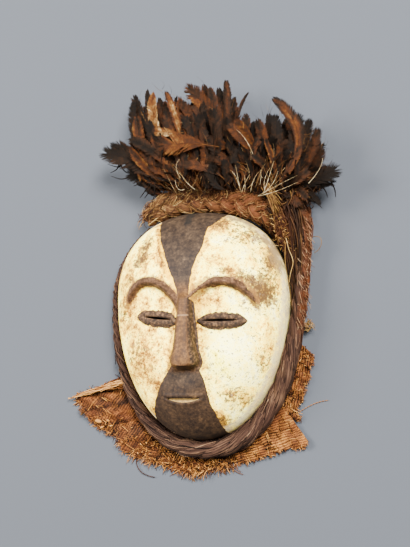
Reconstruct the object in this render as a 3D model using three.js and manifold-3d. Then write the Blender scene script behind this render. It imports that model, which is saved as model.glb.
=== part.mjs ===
// A dance mask: a carved and painted wooden face, hollow behind, with a twisted fibre rope round its rim,
// a plaited raffia band over the forehead, torn raffia cloth behind the rim and a crest of cock feathers.
// Millimetres. The mask lies on its back: +Z points out of the face, +Y to the forehead, +X to the right of
// someone who looks at the face. The sizes below are in the face's own frame, whose origin is the middle of
// the back of the rim; the last lines move the whole mask so that its origin is under the middle of its box.
import * as THREE from "three";
import { mergeVertices } from "three/addons/utils/BufferGeometryUtils.js";
import Module from "manifold-3d";

const wasm = await Module();
wasm.setup();

// Driving dimensions of the wooden face.
const FACE = {
  halfWidth: 116,
  widestY: 40, // the widest place is this far above the middle
  crown: 110, // from the widest place up to the top of the rim
  chin: 190, // and down to the chin
  crownPower: 2.2, // how square the outline is above the widest place
  chinPower: 2.05,
  wall: 22, // height of the straight side of the rim
  dome: 68, // rise of the face above that side
  foreheadSlope: 7, // how far the forehead leans back at the crown
  foreheadPower: 2.0, // how boxy the dome is at the forehead
  cheekPower: 3.0, // and at the cheeks
  rimThickness: 12,
  hollowWall: 10,
  hollowDome: 66,
  hollowPower: 2.4,
};
// The carver set the brows, nose and mouth a little off the middle: middle is that side step.
const BROW = { middle: -4, apexX: 48, apexY: 58, fall: 23.5, reach: 42, power: 1.95, inner: 6, outer: 97 };
const BROW_RIDGE = { halfWidth: 5.5, raise: 4.5, sunk: 4 };
const SOCKET = { depth: 7, fadeBottom: -55, fadeHeight: 50 };
const EYE = { middle: 0.5, x: 42.5, y: 5, halfLength: 32, halfHeight: 11, raise: 3.2 };
const SLIT = { x: 43.5, halfLength: 21.5, halfHeight: 1.8 };
const NOSE = {
  middle: -3,
  top: 36,
  bottom: -58,
  bridgeWidth: 8.5,
  tipWidth: 17.5,
  bridgeHeight: 7,
  tipHeight: 23,
};
const MOUTH = { middle: -5, y: -95, halfWidth: 29, drop: 7.5, depth: 4 };
const MUZZLE = { rise: 3, halfWidth: 38, halfHeight: 22 };
const LIP = { halfWidth: 2.6, raise: 1.6, overhang: 3 };

// The rope: angle round the rim in degrees, counterclockwise from the right, radius there, and the gap
// between the rope and the wood.
const ROPE_STATIONS = [
  [128, 3.5, 0.6],
  [141, 3.8, 0.6],
  [154, 4.4, 0.6],
  [167, 5.4, 0.6],
  [180, 6.4, 0.6],
  [196, 7.5, 0.6],
  [212, 8.6, 0.6],
  [228, 9.6, 0.6],
  [244, 10.6, 0.6],
  [258, 11, 0.6],
  [271, 11, 0.6],
  [284, 11.5, 0.6],
  [298, 12, 0.8],
  [314, 11.5, 2],
  [330, 11, 4],
  [345, 10.8, 6],
  [360, 10.6, 7],
];
// Above the cheek the rope leaves the rim and runs up to the crest: x, y and radius.
const ROPE_END = [
  [136.5, 66, 10.5],
  [137, 94, 10.5],
  [137, 124, 10.5],
  [137, 152, 10],
];
const ROPE = { lobe: 0.12, lay: 62, lift: 4, steps: 72, sides: 6 };

// The plait over the forehead: x and y of its middle line, at one height.
const PLAIT_LINE = [
  [-77, 148],
  [-59.5, 160.5],
  [-38, 165.5],
  [-10, 167],
  [22, 167],
  [50, 165],
  [76, 159.5],
  [95.5, 148.5],
  [107, 136],
];
const PLAIT = {
  height: 20.5,
  strand: 8.2,
  core: 8.6, // what fills the plait's middle
  sideSwing: 8.2,
  liftSwing: 4.4,
  crossings: 2.8,
  steps: 13,
  sides: 5,
};

// The straw-coloured bundle of fibres between the face and the rope: x, y, z and radius.
const BUNDLE_LINE = [
  [104, 177, 53, 4.5],
  [113.5, 160, 50, 5.5],
  [121, 137, 38, 5],
  [124.5, 110, 28.5, 4],
  [124, 82, 26, 3],
  [122, 56, 24, 2.2],
];

// Torn cloth. Each piece runs from the rim, between two angles, out to a torn edge given by a few points.
const CLOTH = { thickness: 2.2, floor: 0.4, gap: 1, steps: 8, rows: 3 };
const CLOTH_PIECES = {
  cloth_flap_left: {
    angles: [212, 246],
    edge: [
      [-152, -79],
      [-189, -90],
      [-182, -108],
      [-164, -131],
      [-126, -147],
      [-95, -166],
    ],
    wave: 7,
  },
  cloth_fringe_chin: {
    angles: [248, 286],
    edge: [
      [-92, -170],
      [-55, -185],
      [-22, -193],
      [6, -188],
      [40, -173],
    ],
    wave: 4,
  },
  cloth_flap_right: {
    angles: [288, 318],
    edge: [
      [46, -178],
      [82, -173],
      [110, -164],
      [137, -154],
    ],
    wave: 6,
  },
  cloth_strip_side: {
    angles: [322, 342],
    edge: [
      [124, -110],
      [134, -90],
      [141, -66],
      [146, -38],
    ],
    wave: 5,
  },
};

// The crest: rows of feathers on cords, which lie over each other from the floor up. The feathers of one
// bunch leave one root; their angles are counterclockwise from the right.
const ROWS = [
  { name: "feathers_back", z: 6, lift: 9, reach: 1 },
  { name: "feathers_middle", z: 16, lift: 26, reach: 0.9 },
  { name: "feathers_front", z: 27, lift: 46, reach: 0.74 },
];
const BUNCHES = [
  { x: -58, angles: [133, 104], lengths: [112, 148], count: 3 },
  { x: -22, angles: [113, 84], lengths: [142, 142], count: 3 },
  { x: 22, angles: [97, 72], lengths: [142, 126], count: 3 },
  { x: 64, angles: [84, 52], lengths: [110, 114], count: 3 },
  { x: 92, angles: [45, 8], lengths: [100, 98], count: 3 },
];
const CORD = { halfThickness: 1.4, halfHeight: 3.6, steps: 5 };
const FEATHER = {
  halfWidth: 14,
  halfThickness: 1.2,
  quill: 1.3,
  quillShare: 0.14,
  curl: 20,
  steps: 4,
  rootGap: 2.3,
};
const LIFT_REACH = 140; // the rows' rise is stated at this distance from the roots
const LIFT_POWER = 1.2;
const SINGLES = [
  { name: "sickle_feather", x: 107, z: 40, angle: 69, curl: 50, length: 146, halfWidth: 9 },
  { name: "black_feather_left", x: -30, z: 35, angle: 160, curl: -14, length: 122, halfWidth: 12 },
  { name: "black_feather_right", x: 70, z: 35, angle: 18, curl: -16, length: 128, halfWidth: 11 },
];
const SINGLE_LIFT = 38;

const COLOURS = {
  face: 0xe8dcc0,
  rope: 0x4a3025,
  plait: 0x8a5a36,
  bundle: 0xb08a56,
  cloth: 0xa86c3c,
  russet: 0x6e4226,
  dark: 0x2c231d,
};

const degrees = THREE.MathUtils.degToRad;
const smoothstep = (x) => THREE.MathUtils.smoothstep(x, 0, 1);
const lerp = THREE.MathUtils.lerp;
// A repeatable number from 0 to 1 for each seed.
const scatter = (seed) => {
  const v = Math.sin(seed * 12.9898) * 43758.5453;
  return v - Math.floor(v);
};

// The rim's outline: a superellipse with one power and half height above the widest place, another below.
function outline(angle, inset = 0) {
  const c = Math.cos(angle);
  const s = Math.sin(angle);
  const power = s > 0 ? FACE.crownPower : FACE.chinPower;
  const half = (s > 0 ? FACE.crown : FACE.chin) - inset;
  return new THREE.Vector2(
    (FACE.halfWidth - inset) * Math.sign(c) * Math.abs(c) ** (2 / power),
    FACE.widestY + half * Math.sign(s) * Math.abs(s) ** (2 / power),
  );
}

// The outline's outward direction there, from the slope of the superellipse.
function outlineNormal(angle) {
  const p = outline(angle);
  const above = p.y > FACE.widestY;
  const power = above ? FACE.crownPower : FACE.chinPower;
  const half = above ? FACE.crown : FACE.chin;
  const u = p.x / FACE.halfWidth;
  const v = (p.y - FACE.widestY) / half;
  return new THREE.Vector2(
    (Math.sign(u) * Math.abs(u) ** (power - 1)) / FACE.halfWidth,
    (Math.sign(v) * Math.abs(v) ** (power - 1)) / half,
  ).normalize();
}

// 0 in the middle of the face and 1 on the rim.
function rimShare(x, y) {
  const above = y > FACE.widestY;
  const power = above ? FACE.crownPower : FACE.chinPower;
  const half = above ? FACE.crown : FACE.chin;
  const across = Math.abs(x / FACE.halfWidth) ** power;
  return (across + Math.abs((y - FACE.widestY) / half) ** power) ** (1 / power);
}

// The brow line, as a height for each distance from the face's axis.
const browY = (x) => BROW.apexY - BROW.fall * Math.abs((x - BROW.apexX) / BROW.reach) ** BROW.power;

// The face without nose, brow ridges and lids: a boxy dome with eye sockets and a muzzle.
function faceHeight(x, y) {
  const share = Math.min(1, rimShare(x, y));
  const power = lerp(FACE.cheekPower, FACE.foreheadPower, smoothstep((y + 60) / 140));
  const rise = FACE.dome - FACE.foreheadSlope * smoothstep((y - FACE.widestY) / FACE.crown);
  const side = Math.abs(x - BROW.middle);
  const socket =
    SOCKET.depth *
    smoothstep((browY(side) - y) / 10) *
    smoothstep((y - SOCKET.fadeBottom) / SOCKET.fadeHeight) *
    smoothstep((side - 8) / 14) *
    smoothstep((1 - share) / 0.12);
  const across = (x - MOUTH.middle) / MUZZLE.halfWidth;
  const muzzle = MUZZLE.rise * Math.exp(-(across ** 2) - ((y - MOUTH.y) / MUZZLE.halfHeight) ** 2);
  return FACE.wall + rise * Math.sqrt(1 - share ** power) - socket + muzzle;
}

function faceNormal(x, y) {
  const d = 1.5;
  return new THREE.Vector3(
    faceHeight(x - d, y) - faceHeight(x + d, y),
    faceHeight(x, y - d) - faceHeight(x, y + d),
    2 * d,
  ).normalize();
}

// A closed body from rings of equal count, with a fan on each end.
function loft(rings) {
  const n = rings[0].length;
  const middle = (ring) => ring.reduce((sum, p) => sum.add(p), new THREE.Vector3()).divideScalar(n);
  const points = [...rings.flat(), middle(rings[0]), middle(rings.at(-1))];
  const first = rings.length * n;
  const index = [];
  for (let j = 0; j < n; j++) {
    const k = (j + 1) % n;
    for (let i = 0; i + 1 < rings.length; i++) {
      const a = i * n + j;
      const b = i * n + k;
      index.push(a, b, b + n, a, b + n, a + n);
    }
    index.push(first, k, j, first + 1, first - n + j, first - n + k);
  }
  const geometry = new THREE.BufferGeometry().setFromPoints(points);
  geometry.setIndex(index);
  return geometry;
}

// The solid inside a closed geometry, turned the right way out.
function solidOf(geometry) {
  for (const name of ["normal", "uv"]) geometry.deleteAttribute(name);
  const merged = mergeVertices(geometry, 1e-4);
  const build = (triVerts) =>
    new wasm.Manifold(
      new wasm.Mesh({ numProp: 3, vertProperties: merged.attributes.position.array, triVerts }),
    );
  const solid = build(new Uint32Array(merged.index.array));
  return solid.volume() > 0 ? solid : build(new Uint32Array(merged.index.array).reverse());
}

function geometryOf(solid) {
  const { vertProperties, triVerts, numProp } = solid.getMesh();
  const points = [];
  for (let i = 0; i < vertProperties.length; i += numProp) {
    points.push(...vertProperties.subarray(i, i + 3));
  }
  const geometry = new THREE.BufferGeometry();
  geometry.setAttribute("position", new THREE.Float32BufferAttribute(points, 3));
  geometry.setIndex(new THREE.BufferAttribute(triVerts, 1));
  return geometry;
}

const unite = (solids) => solids.reduce((sum, s) => sum.add(s));

// The face: dome, hollow, then the crisp carving.

const RING_SHARES = [0.992, 0.966, 0.925, 0.865, 0.785, 0.69, 0.585, 0.475, 0.36, 0.24, 0.11];

function domeSolid() {
  const turns = 46;
  const ring = (share, height) =>
    Array.from({ length: turns }, (_, j) => {
      const p = outline((2 * Math.PI * j) / turns);
      const x = p.x * share;
      const y = FACE.widestY + (p.y - FACE.widestY) * share;
      return new THREE.Vector3(x, y, height ?? faceHeight(x, y));
    });
  return solidOf(loft([ring(1, 0), ring(1, FACE.wall), ...RING_SHARES.map((share) => ring(share))]));
}

function hollowSolid() {
  const turns = 28;
  const below = -8;
  const shares = [0.98, 0.91, 0.8, 0.65, 0.45, 0.2];
  const ring = (share, height) =>
    Array.from({ length: turns }, (_, j) => {
      const p = outline((2 * Math.PI * j) / turns, FACE.rimThickness);
      return new THREE.Vector3(p.x * share, FACE.widestY + (p.y - FACE.widestY) * share, height);
    });
  const height = (share) => FACE.hollowWall + FACE.hollowDome * Math.sqrt(1 - share ** FACE.hollowPower);
  return solidOf(
    loft([ring(1, below), ring(1, FACE.hollowWall), ...shares.map((share) => ring(share, height(share)))]),
  );
}

// A low rounded ridge that follows a line of x and y over the face.
function ridge(line, halfWidth, raise, sunk) {
  const rings = line.map(({ x, y }, i) => {
    const before = line[Math.max(0, i - 1)];
    const after = line[Math.min(line.length - 1, i + 1)];
    const p = new THREE.Vector3(x, y, faceHeight(x, y));
    const along = new THREE.Vector3(
      after.x - before.x,
      after.y - before.y,
      faceHeight(after.x, after.y) - faceHeight(before.x, before.y),
    ).normalize();
    const up = faceNormal(x, y);
    const side = along.clone().cross(up).normalize();
    const taper = 0.35 + 0.65 * Math.sin((Math.PI * (i + 0.6)) / (line.length + 0.2)) ** 0.6;
    const corner = (s, h) => p.clone().addScaledVector(side, s * taper).addScaledVector(up, h);
    return [
      corner(halfWidth, -sunk),
      corner(halfWidth, raise * taper * 0.4),
      corner(halfWidth * 0.5, raise * taper),
      corner(-halfWidth * 0.5, raise * taper),
      corner(-halfWidth, raise * taper * 0.4),
      corner(-halfWidth, -sunk),
    ];
  });
  return solidOf(loft(rings));
}

function browSolid(hand) {
  const steps = 10;
  const line = Array.from({ length: steps }, (_, i) => {
    const side = lerp(BROW.inner, BROW.outer, i / (steps - 1));
    return { x: BROW.middle + hand * side, y: browY(side) };
  });
  return ridge(line, BROW_RIDGE.halfWidth, BROW_RIDGE.raise, BROW_RIDGE.sunk);
}

function lipSolid() {
  const steps = 7;
  const reach = MOUTH.halfWidth + LIP.overhang;
  const line = Array.from({ length: steps }, (_, i) => ({
    x: MOUTH.middle + lerp(-reach, reach, i / (steps - 1)),
    y: MOUTH.y + LIP.halfWidth,
  }));
  return ridge(line, LIP.halfWidth, LIP.raise, BROW_RIDGE.sunk);
}

// An almond-shaped lid that swells out of the socket.
function lidSolid(hand) {
  const turns = 14;
  const ring = (share, raise) =>
    Array.from({ length: turns }, (_, j) => {
      const a = (2 * Math.PI * j) / turns;
      const along = Math.cos(a);
      const across = Math.sign(Math.sin(a)) * (1 - Math.abs(along) ** 1.9);
      const x = EYE.middle + hand * (EYE.x + EYE.halfLength * share * along);
      const y = EYE.y + EYE.halfHeight * share * across;
      return new THREE.Vector3(x, y, faceHeight(x, y) + raise);
    });
  return solidOf(loft([ring(1, -4), ring(0.97, 1.2), ring(0.72, EYE.raise), ring(0.25, EYE.raise + 0.8)]));
}

function slitCutter(hand) {
  const shape = new THREE.Shape();
  const middle = EYE.middle + hand * SLIT.x;
  shape.absellipse(middle, EYE.y, SLIT.halfLength, SLIT.halfHeight, 0, 2 * Math.PI);
  const geometry = new THREE.ExtrudeGeometry(shape, { depth: 90, bevelEnabled: false, curveSegments: 8 });
  return solidOf(geometry.translate(0, 0, 20));
}

// The nose: a wedge with a rounded back, narrow at the bridge and broad at the tip.
const noseShare = (y) => (NOSE.top - y) / (NOSE.top - NOSE.bottom);
const noseHalfWidth = (y) => lerp(NOSE.bridgeWidth, NOSE.tipWidth, noseShare(y) ** 1.3);
const noseHeight = (y) => lerp(NOSE.bridgeHeight, NOSE.tipHeight, noseShare(y) ** 0.8);

function noseSolid() {
  const sunk = 9;
  const corners = [
    [-1, 0],
    [-0.86, 0.62],
    [-0.5, 0.95],
    [0, 1],
    [0.5, 0.95],
    [0.86, 0.62],
    [1, 0],
  ];
  const ring = (y, end = 1) => {
    const middle = faceHeight(NOSE.middle, y);
    const at = (s, z) => new THREE.Vector3(NOSE.middle + s * noseHalfWidth(y), y, z);
    const back = corners.map(([s, h]) => at(s * end, middle - 2 + (noseHeight(y) * end + 2) * h));
    return [at(-1, middle - sunk), ...back, at(1, middle - sunk)];
  };
  const heights = [NOSE.top, 20, 0, -20, -38, -51];
  const rings = heights.map((y) => ring(y));
  return solidOf(loft([...rings, ring(NOSE.bottom + 1.5, 0.86), ring(NOSE.bottom, 0.6)]));
}

// The mouth slot: a straight upper edge and a bowed lower one.
function mouthCutter() {
  const { middle, halfWidth, drop } = MOUTH;
  const shape = new THREE.Shape();
  shape.moveTo(middle - halfWidth, MOUTH.y);
  shape.quadraticCurveTo(middle, MOUTH.y - 2 * drop, middle + halfWidth, MOUTH.y);
  const geometry = new THREE.ExtrudeGeometry(shape, { depth: 60, bevelEnabled: false, curveSegments: 10 });
  return solidOf(geometry.translate(0, 0, faceHeight(middle, MOUTH.y) - MOUTH.depth));
}

function carvedFace() {
  const added = [domeSolid(), noseSolid(), lipSolid()];
  for (const hand of [-1, 1]) added.push(browSolid(hand), lidSolid(hand));
  const cuts = [hollowSolid(), slitCutter(-1), slitCutter(1), mouthCutter()];
  return geometryOf(unite(added).subtract(unite(cuts)));
}

// The rope: a two-lobed section turned along a line, so that its two strands show.

function ropeStations() {
  const round = ROPE_STATIONS.map(([angle, radius, gap]) => {
    const out = radius * (1 + ROPE.lobe) + gap;
    const p = outline(degrees(angle)).addScaledVector(outlineNormal(degrees(angle)), out);
    return [p.x, p.y, radius];
  });
  return [...round, ...ROPE_END];
}

// A curve through the stations, with the radius carried along as a second curve.
function ropeLine() {
  const stations = ropeStations();
  const middle = stations.map(([x, y, r]) => new THREE.Vector3(x, y, ROPE.lift + r * (1 + ROPE.lobe)));
  const radius = stations.map(([, , r]) => new THREE.Vector3(r, 0, 0));
  return [middle, radius].map((points) => new THREE.CatmullRomCurve3(points, false, "catmullrom"));
}

function rimRope() {
  const [middle, radius] = ropeLine();
  const points = middle.getPoints(ROPE.steps);
  const radii = radius.getPoints(ROPE.steps).map((p) => p.x);
  let run = 0;
  const rings = points.map((p, i) => {
    if (i) run += p.distanceTo(points[i - 1]);
    const along = middle.getTangent(i / ROPE.steps);
    const side = new THREE.Vector3(0, 0, 1).cross(along).normalize();
    const up = along.clone().cross(side);
    return Array.from({ length: ROPE.sides }, (_, j) => {
      const a = (2 * Math.PI * j) / ROPE.sides;
      const r = radii[i] * (1 + ROPE.lobe * Math.cos(2 * a - (2 * Math.PI * run) / ROPE.lay));
      return p.clone().addScaledVector(side, r * Math.cos(a)).addScaledVector(up, r * Math.sin(a));
    });
  });
  return geometryOf(solidOf(loft(rings)));
}

// The plait: three strands that swing past each other, joined where they touch.

function plaitCurve() {
  const points = PLAIT_LINE.map(([x, y]) => new THREE.Vector3(x, y, PLAIT.height));
  return new THREE.CatmullRomCurve3(points, false, "catmullrom");
}

// A tube round the curve, moved aside and up by the strand's swing.
function plaitTube(curve, radius, swing) {
  const rings = [];
  for (let i = 0; i <= PLAIT.steps; i++) {
    const t = i / PLAIT.steps;
    const along = curve.getTangent(t);
    const side = new THREE.Vector3(-along.y, along.x, 0);
    const end = 0.55 + 0.45 * Math.min(1, 9 * t, 9 * (1 - t));
    const { aside, up } = swing(t);
    const middle = curve.getPoint(t).addScaledVector(side, end * aside);
    middle.z += end * up;
    rings.push(
      Array.from({ length: PLAIT.sides }, (_, j) => {
        const a = (2 * Math.PI * (j + 0.5)) / PLAIT.sides;
        const p = middle.clone().addScaledVector(side, radius * end * Math.cos(a));
        p.z += radius * end * Math.sin(a);
        return p;
      }),
    );
  }
  return solidOf(loft(rings));
}

function crownPlait() {
  const curve = plaitCurve();
  const strands = [0, 1, 2].map((strand) =>
    plaitTube(curve, PLAIT.strand, (t) => {
      const phase = 2 * Math.PI * (PLAIT.crossings * t + strand / 3);
      return { aside: PLAIT.sideSwing * Math.sin(phase), up: PLAIT.liftSwing * Math.sin(2 * phase) };
    }),
  );
  const core = plaitTube(curve, PLAIT.core, () => ({ aside: 0, up: 0 }));
  return geometryOf(unite([core, ...strands]));
}

function fibreBundle() {
  const steps = 11;
  const sides = 6;
  const curve = new THREE.CatmullRomCurve3(
    BUNDLE_LINE.map(([x, y, z]) => new THREE.Vector3(x, y, z)),
    false,
    "catmullrom",
  );
  const radius = (t) => {
    const at = t * (BUNDLE_LINE.length - 1);
    const i = Math.min(BUNDLE_LINE.length - 2, Math.floor(at));
    return lerp(BUNDLE_LINE[i][3], BUNDLE_LINE[i + 1][3], at - i);
  };
  const rings = Array.from({ length: steps + 1 }, (_, i) => {
    const t = i / steps;
    const along = curve.getTangent(t);
    const side = new THREE.Vector3(0, 0, 1).cross(along).normalize();
    const up = along.clone().cross(side);
    return Array.from({ length: sides }, (_, j) => {
      const a = (2 * Math.PI * j) / sides;
      return curve
        .getPoint(t)
        .addScaledVector(side, radius(t) * Math.cos(a))
        .addScaledVector(up, radius(t) * Math.sin(a));
    });
  });
  return geometryOf(solidOf(loft(rings)));
}

// A torn piece of cloth: straight lines from the rim to the torn edge, flat under the rope and waved
// outside it.
function clothPiece({ angles, edge, wave }) {
  const outer = new THREE.CatmullRomCurve3(
    edge.map(([x, y]) => new THREE.Vector3(x, y, 0)),
    false,
    "catmullrom",
  );
  const at = (u, v) => {
    const angle = degrees(lerp(angles[0], angles[1], u));
    const inner = outline(angle).addScaledVector(outlineNormal(angle), CLOTH.gap);
    const p = outer.getPoint(u);
    const x = lerp(inner.x, p.x, v);
    const y = lerp(inner.y, p.y, v);
    const free = smoothstep((Math.hypot(x - inner.x, y - inner.y) - 26) / 22);
    return new THREE.Vector3(x, y, CLOTH.floor + free * wave * (0.5 - 0.5 * Math.cos(x / 9 + y / 13)));
  };
  const rings = Array.from({ length: CLOTH.steps + 1 }, (_, i) => {
    const under = Array.from({ length: CLOTH.rows + 1 }, (_, j) => at(i / CLOTH.steps, j / CLOTH.rows));
    const over = under.map((p) => p.clone().setZ(p.z + CLOTH.thickness)).reverse();
    return [...under, ...over];
  });
  return geometryOf(solidOf(loft(rings)));
}

// The crest's rows are sheets that rise with the distance from the line of the roots.

function rootPoint(x) {
  const curve = plaitCurve();
  const points = curve.getPoints(80);
  const near = points.reduce((best, p) => (Math.abs(p.x - x) < Math.abs(best.x - x) ? p : best));
  return new THREE.Vector2(x, near.y + PLAIT.sideSwing + PLAIT.strand + FEATHER.rootGap);
}

function sheetHeight(row, x, y) {
  const a = rootPoint(BUNCHES[0].x);
  const b = rootPoint(BUNCHES.at(-1).x);
  const line = b.clone().sub(a);
  const p = new THREE.Vector2(x, y);
  const t = THREE.MathUtils.clamp(p.clone().sub(a).dot(line) / line.lengthSq(), 0, 1);
  const away = p.distanceTo(a.clone().addScaledVector(line, t));
  return row.z + row.lift * (away / LIFT_REACH) ** LIFT_POWER;
}

// A feather: a quill, then a flat vane of lens section that narrows to a round tip.
function featherSolid({ root, angle, curl, length, halfWidth, row }) {
  const rings = [];
  const p = root.clone();
  let heading = degrees(angle);
  for (let i = 0; i <= FEATHER.steps; i++) {
    const t = i / FEATHER.steps;
    const vane = Math.max(0, (t - FEATHER.quillShare) / (1 - FEATHER.quillShare));
    const fullness = Math.sin(Math.PI * (vane * 0.93) ** 0.75) ** 0.8;
    const width = lerp(FEATHER.quill, halfWidth, fullness);
    const side = new THREE.Vector2(-Math.sin(heading), Math.cos(heading));
    const point = (across, over) => {
      const q = p.clone().addScaledVector(side, across * width);
      return new THREE.Vector3(q.x, q.y, sheetHeight(row, q.x, q.y) + over * FEATHER.halfThickness);
    };
    rings.push([point(1, 0), point(0, 1), point(-1, 0), point(0, -1)]);
    heading += degrees(curl) / FEATHER.steps;
    p.add(new THREE.Vector2(Math.cos(heading), Math.sin(heading)).multiplyScalar(length / FEATHER.steps));
  }
  return solidOf(loft(rings));
}

// The cord that a row is sewn on, along the top of the plait.
function cordSolid(row) {
  const [first, last] = [BUNCHES[0].x - 6, BUNCHES.at(-1).x + 4];
  const rings = Array.from({ length: CORD.steps + 1 }, (_, i) => {
    const p = rootPoint(lerp(first, last, i / CORD.steps));
    const z = sheetHeight(row, p.x, p.y);
    const corner = (a, b) =>
      new THREE.Vector3(p.x, p.y + a * CORD.halfThickness, z + b * CORD.halfHeight);
    return [corner(-1, -1), corner(1, -1), corner(1, 1), corner(-1, 1)];
  });
  return solidOf(loft(rings));
}

function featherRow(row, seed) {
  const feathers = BUNCHES.flatMap(({ x, angles, lengths, count }, b) =>
    Array.from({ length: count }, (_, i) => {
      const share = i / (count - 1);
      const vary = (n) => scatter(seed + 5 * b + i * 7.3 + n);
      return featherSolid({
        root: rootPoint(x),
        row,
        angle: lerp(angles[0], angles[1], share) + (vary(0) - 0.5) * 7,
        curl: (vary(50) - 0.5) * FEATHER.curl,
        length: lerp(lengths[0], lengths[1], share) * row.reach * (0.9 + 0.13 * vary(20)),
        halfWidth: FEATHER.halfWidth * (0.8 + 0.35 * vary(90)),
      });
    }),
  );
  return geometryOf(unite([cordSolid(row), ...feathers]));
}

function singleFeather(single) {
  const row = { z: single.z, lift: SINGLE_LIFT };
  return geometryOf(featherSolid({ ...single, root: rootPoint(single.x), row }));
}

function mesh(name, geometry, colour, roughness) {
  geometry.computeVertexNormals();
  const material = new THREE.MeshStandardMaterial({ color: colour, roughness, metalness: 0 });
  const made = new THREE.Mesh(geometry, material);
  made.name = name;
  return made;
}

const body = new THREE.Group();
body.add(mesh("carved_face", carvedFace(), COLOURS.face, 0.85));
body.add(mesh("rim_rope", rimRope(), COLOURS.rope, 0.9));
body.add(mesh("crown_plait", crownPlait(), COLOURS.plait, 0.9));
body.add(mesh("side_fibre_bundle", fibreBundle(), COLOURS.bundle, 0.8));
for (const [name, piece] of Object.entries(CLOTH_PIECES)) {
  body.add(mesh(name, clothPiece(piece), COLOURS.cloth, 0.95));
}
ROWS.forEach((row, r) => {
  body.add(mesh(row.name, featherRow(row, 11 + 37 * r), COLOURS.russet, 0.6));
});
for (const single of SINGLES) {
  const colour = single.name.startsWith("black") ? COLOURS.dark : COLOURS.russet;
  body.add(mesh(single.name, singleFeather(single), colour, 0.55));
}

// The origin is under the middle of the whole mask's box.
const box = new THREE.Box3().setFromObject(body);
const middle = box.getCenter(new THREE.Vector3());
body.position.set(-middle.x, -middle.y, -box.min.z);
const mask = new THREE.Group();
mask.add(body);

export default mask;
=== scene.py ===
# %% [markdown]
# # A painted dance mask with a crest of cock feathers
#
# This lesson dresses a plain CAD model of an African dance mask so that it looks carved, painted, plaited
# and feathered. The mask lies on its back on a pale floor: +Z comes out of the face, +Y points to the
# forehead, and +X is to the right of someone who looks at it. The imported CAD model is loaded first, and
# never moved.

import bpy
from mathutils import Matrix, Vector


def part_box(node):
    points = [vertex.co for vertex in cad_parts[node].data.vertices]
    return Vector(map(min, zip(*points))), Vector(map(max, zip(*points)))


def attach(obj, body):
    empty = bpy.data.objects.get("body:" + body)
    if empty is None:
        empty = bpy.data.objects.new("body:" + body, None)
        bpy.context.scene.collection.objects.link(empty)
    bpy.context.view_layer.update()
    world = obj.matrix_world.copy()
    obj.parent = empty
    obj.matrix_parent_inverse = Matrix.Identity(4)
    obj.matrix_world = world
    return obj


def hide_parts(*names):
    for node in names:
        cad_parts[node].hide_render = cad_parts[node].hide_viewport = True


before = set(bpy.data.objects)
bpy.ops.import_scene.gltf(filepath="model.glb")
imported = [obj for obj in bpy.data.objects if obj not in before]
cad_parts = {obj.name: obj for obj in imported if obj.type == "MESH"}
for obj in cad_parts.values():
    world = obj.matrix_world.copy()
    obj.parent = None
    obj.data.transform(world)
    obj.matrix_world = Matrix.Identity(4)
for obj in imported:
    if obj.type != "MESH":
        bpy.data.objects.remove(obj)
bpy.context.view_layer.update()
print("CAD nodes:", sorted(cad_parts))

# %% [markdown]
# ## Units
#
# A carver would measure this mask in millimetres from the middle of its back rim, so every shape below is
# worked out in those millimetres, and one function moves them into the frame's metres. The rim's middle is
# read from the CAD face, which keeps the dressing on the solids if they are ever moved.

# %% Millimetres, colours and easing
import math

import bpy
import numpy as np
from mathutils import Matrix

face_low, face_high = (np.array(corner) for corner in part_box("carved_face"))
RIM_MIDDLE = np.array([(face_low[0] + face_high[0]) / 2, (face_low[1] + face_high[1]) / 2, 0.0])


def in_frame(points):
    """Millimetres from the rim's middle as metres in the frame: points / 1000 + the rim's middle."""
    return np.asarray(points, float) / 1000 + RIM_MIDDLE


def from_hex(code):
    """An sRGB hex colour as linear RGBA: c / 12.92 for dark values, ((c + 0.055) / 1.055)^2.4 for others."""
    channels = np.array([int(code[i : i + 2], 16) for i in (1, 3, 5)]) / 255
    linear = np.where(channels <= 0.04045, channels / 12.92, ((channels + 0.055) / 1.055) ** 2.4)
    return (*linear.tolist(), 1.0)


def smooth(x):
    """0 below 0, 1 above 1, and 3x^2 - 2x^3 between."""
    x = np.clip(x, 0, 1)
    return x * x * (3 - 2 * x)


def unit(vectors):
    """The same directions, one long."""
    return vectors / np.linalg.norm(vectors, axis=-1, keepdims=True).clip(1e-12)


def spot(x, y, middle_x, middle_y, wide, tall):
    """A soft round spot: exp(-(dx/wide)^2 - (dy/tall)^2)."""
    return np.exp(-(((x - middle_x) / wide) ** 2) - ((y - middle_y) / tall) ** 2)


print("rim middle at", RIM_MIDDLE.round(4))

# %% [markdown]
# ## From arrays to pieces
#
# Every piece is one or more grids of points, so the faces come from index arithmetic alone. A strip or
# sheet stays open; a cord closes round its section and gets a cap at each end, built from quads too, so
# that one array holds all faces. Several grids of the same size, such as hundreds of fibres, are one array
# with a leading axis.

# %% Faces of grids


def squares(count, nu, nv, round_v=False):
    """Vertex numbers of the squares of grids of nu by nv points; round_v closes each row into a ring."""
    i, j = np.meshgrid(np.arange(nu - 1), np.arange(nv if round_v else nv - 1), indexing="ij")
    k = (j + 1) % nv
    one = np.stack([i * nv + j, (i + 1) * nv + j, (i + 1) * nv + k, i * nv + k], -1).reshape(-1, 4)
    return (np.arange(count)[:, None, None] * nu * nv + one).reshape(-1, 4)


def end_caps(count, nu, nv):
    """Squares across both end rings of closed tubes with an even number of sides."""
    j = np.arange(nv // 2 - 1)
    near = np.stack([j, nv - 1 - j, nv - 2 - j, j + 1], -1)
    one = np.concatenate([near[:, ::-1], near + (nu - 1) * nv])
    return (np.arange(count)[:, None, None] * nu * nv + one).reshape(-1, 4)


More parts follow.
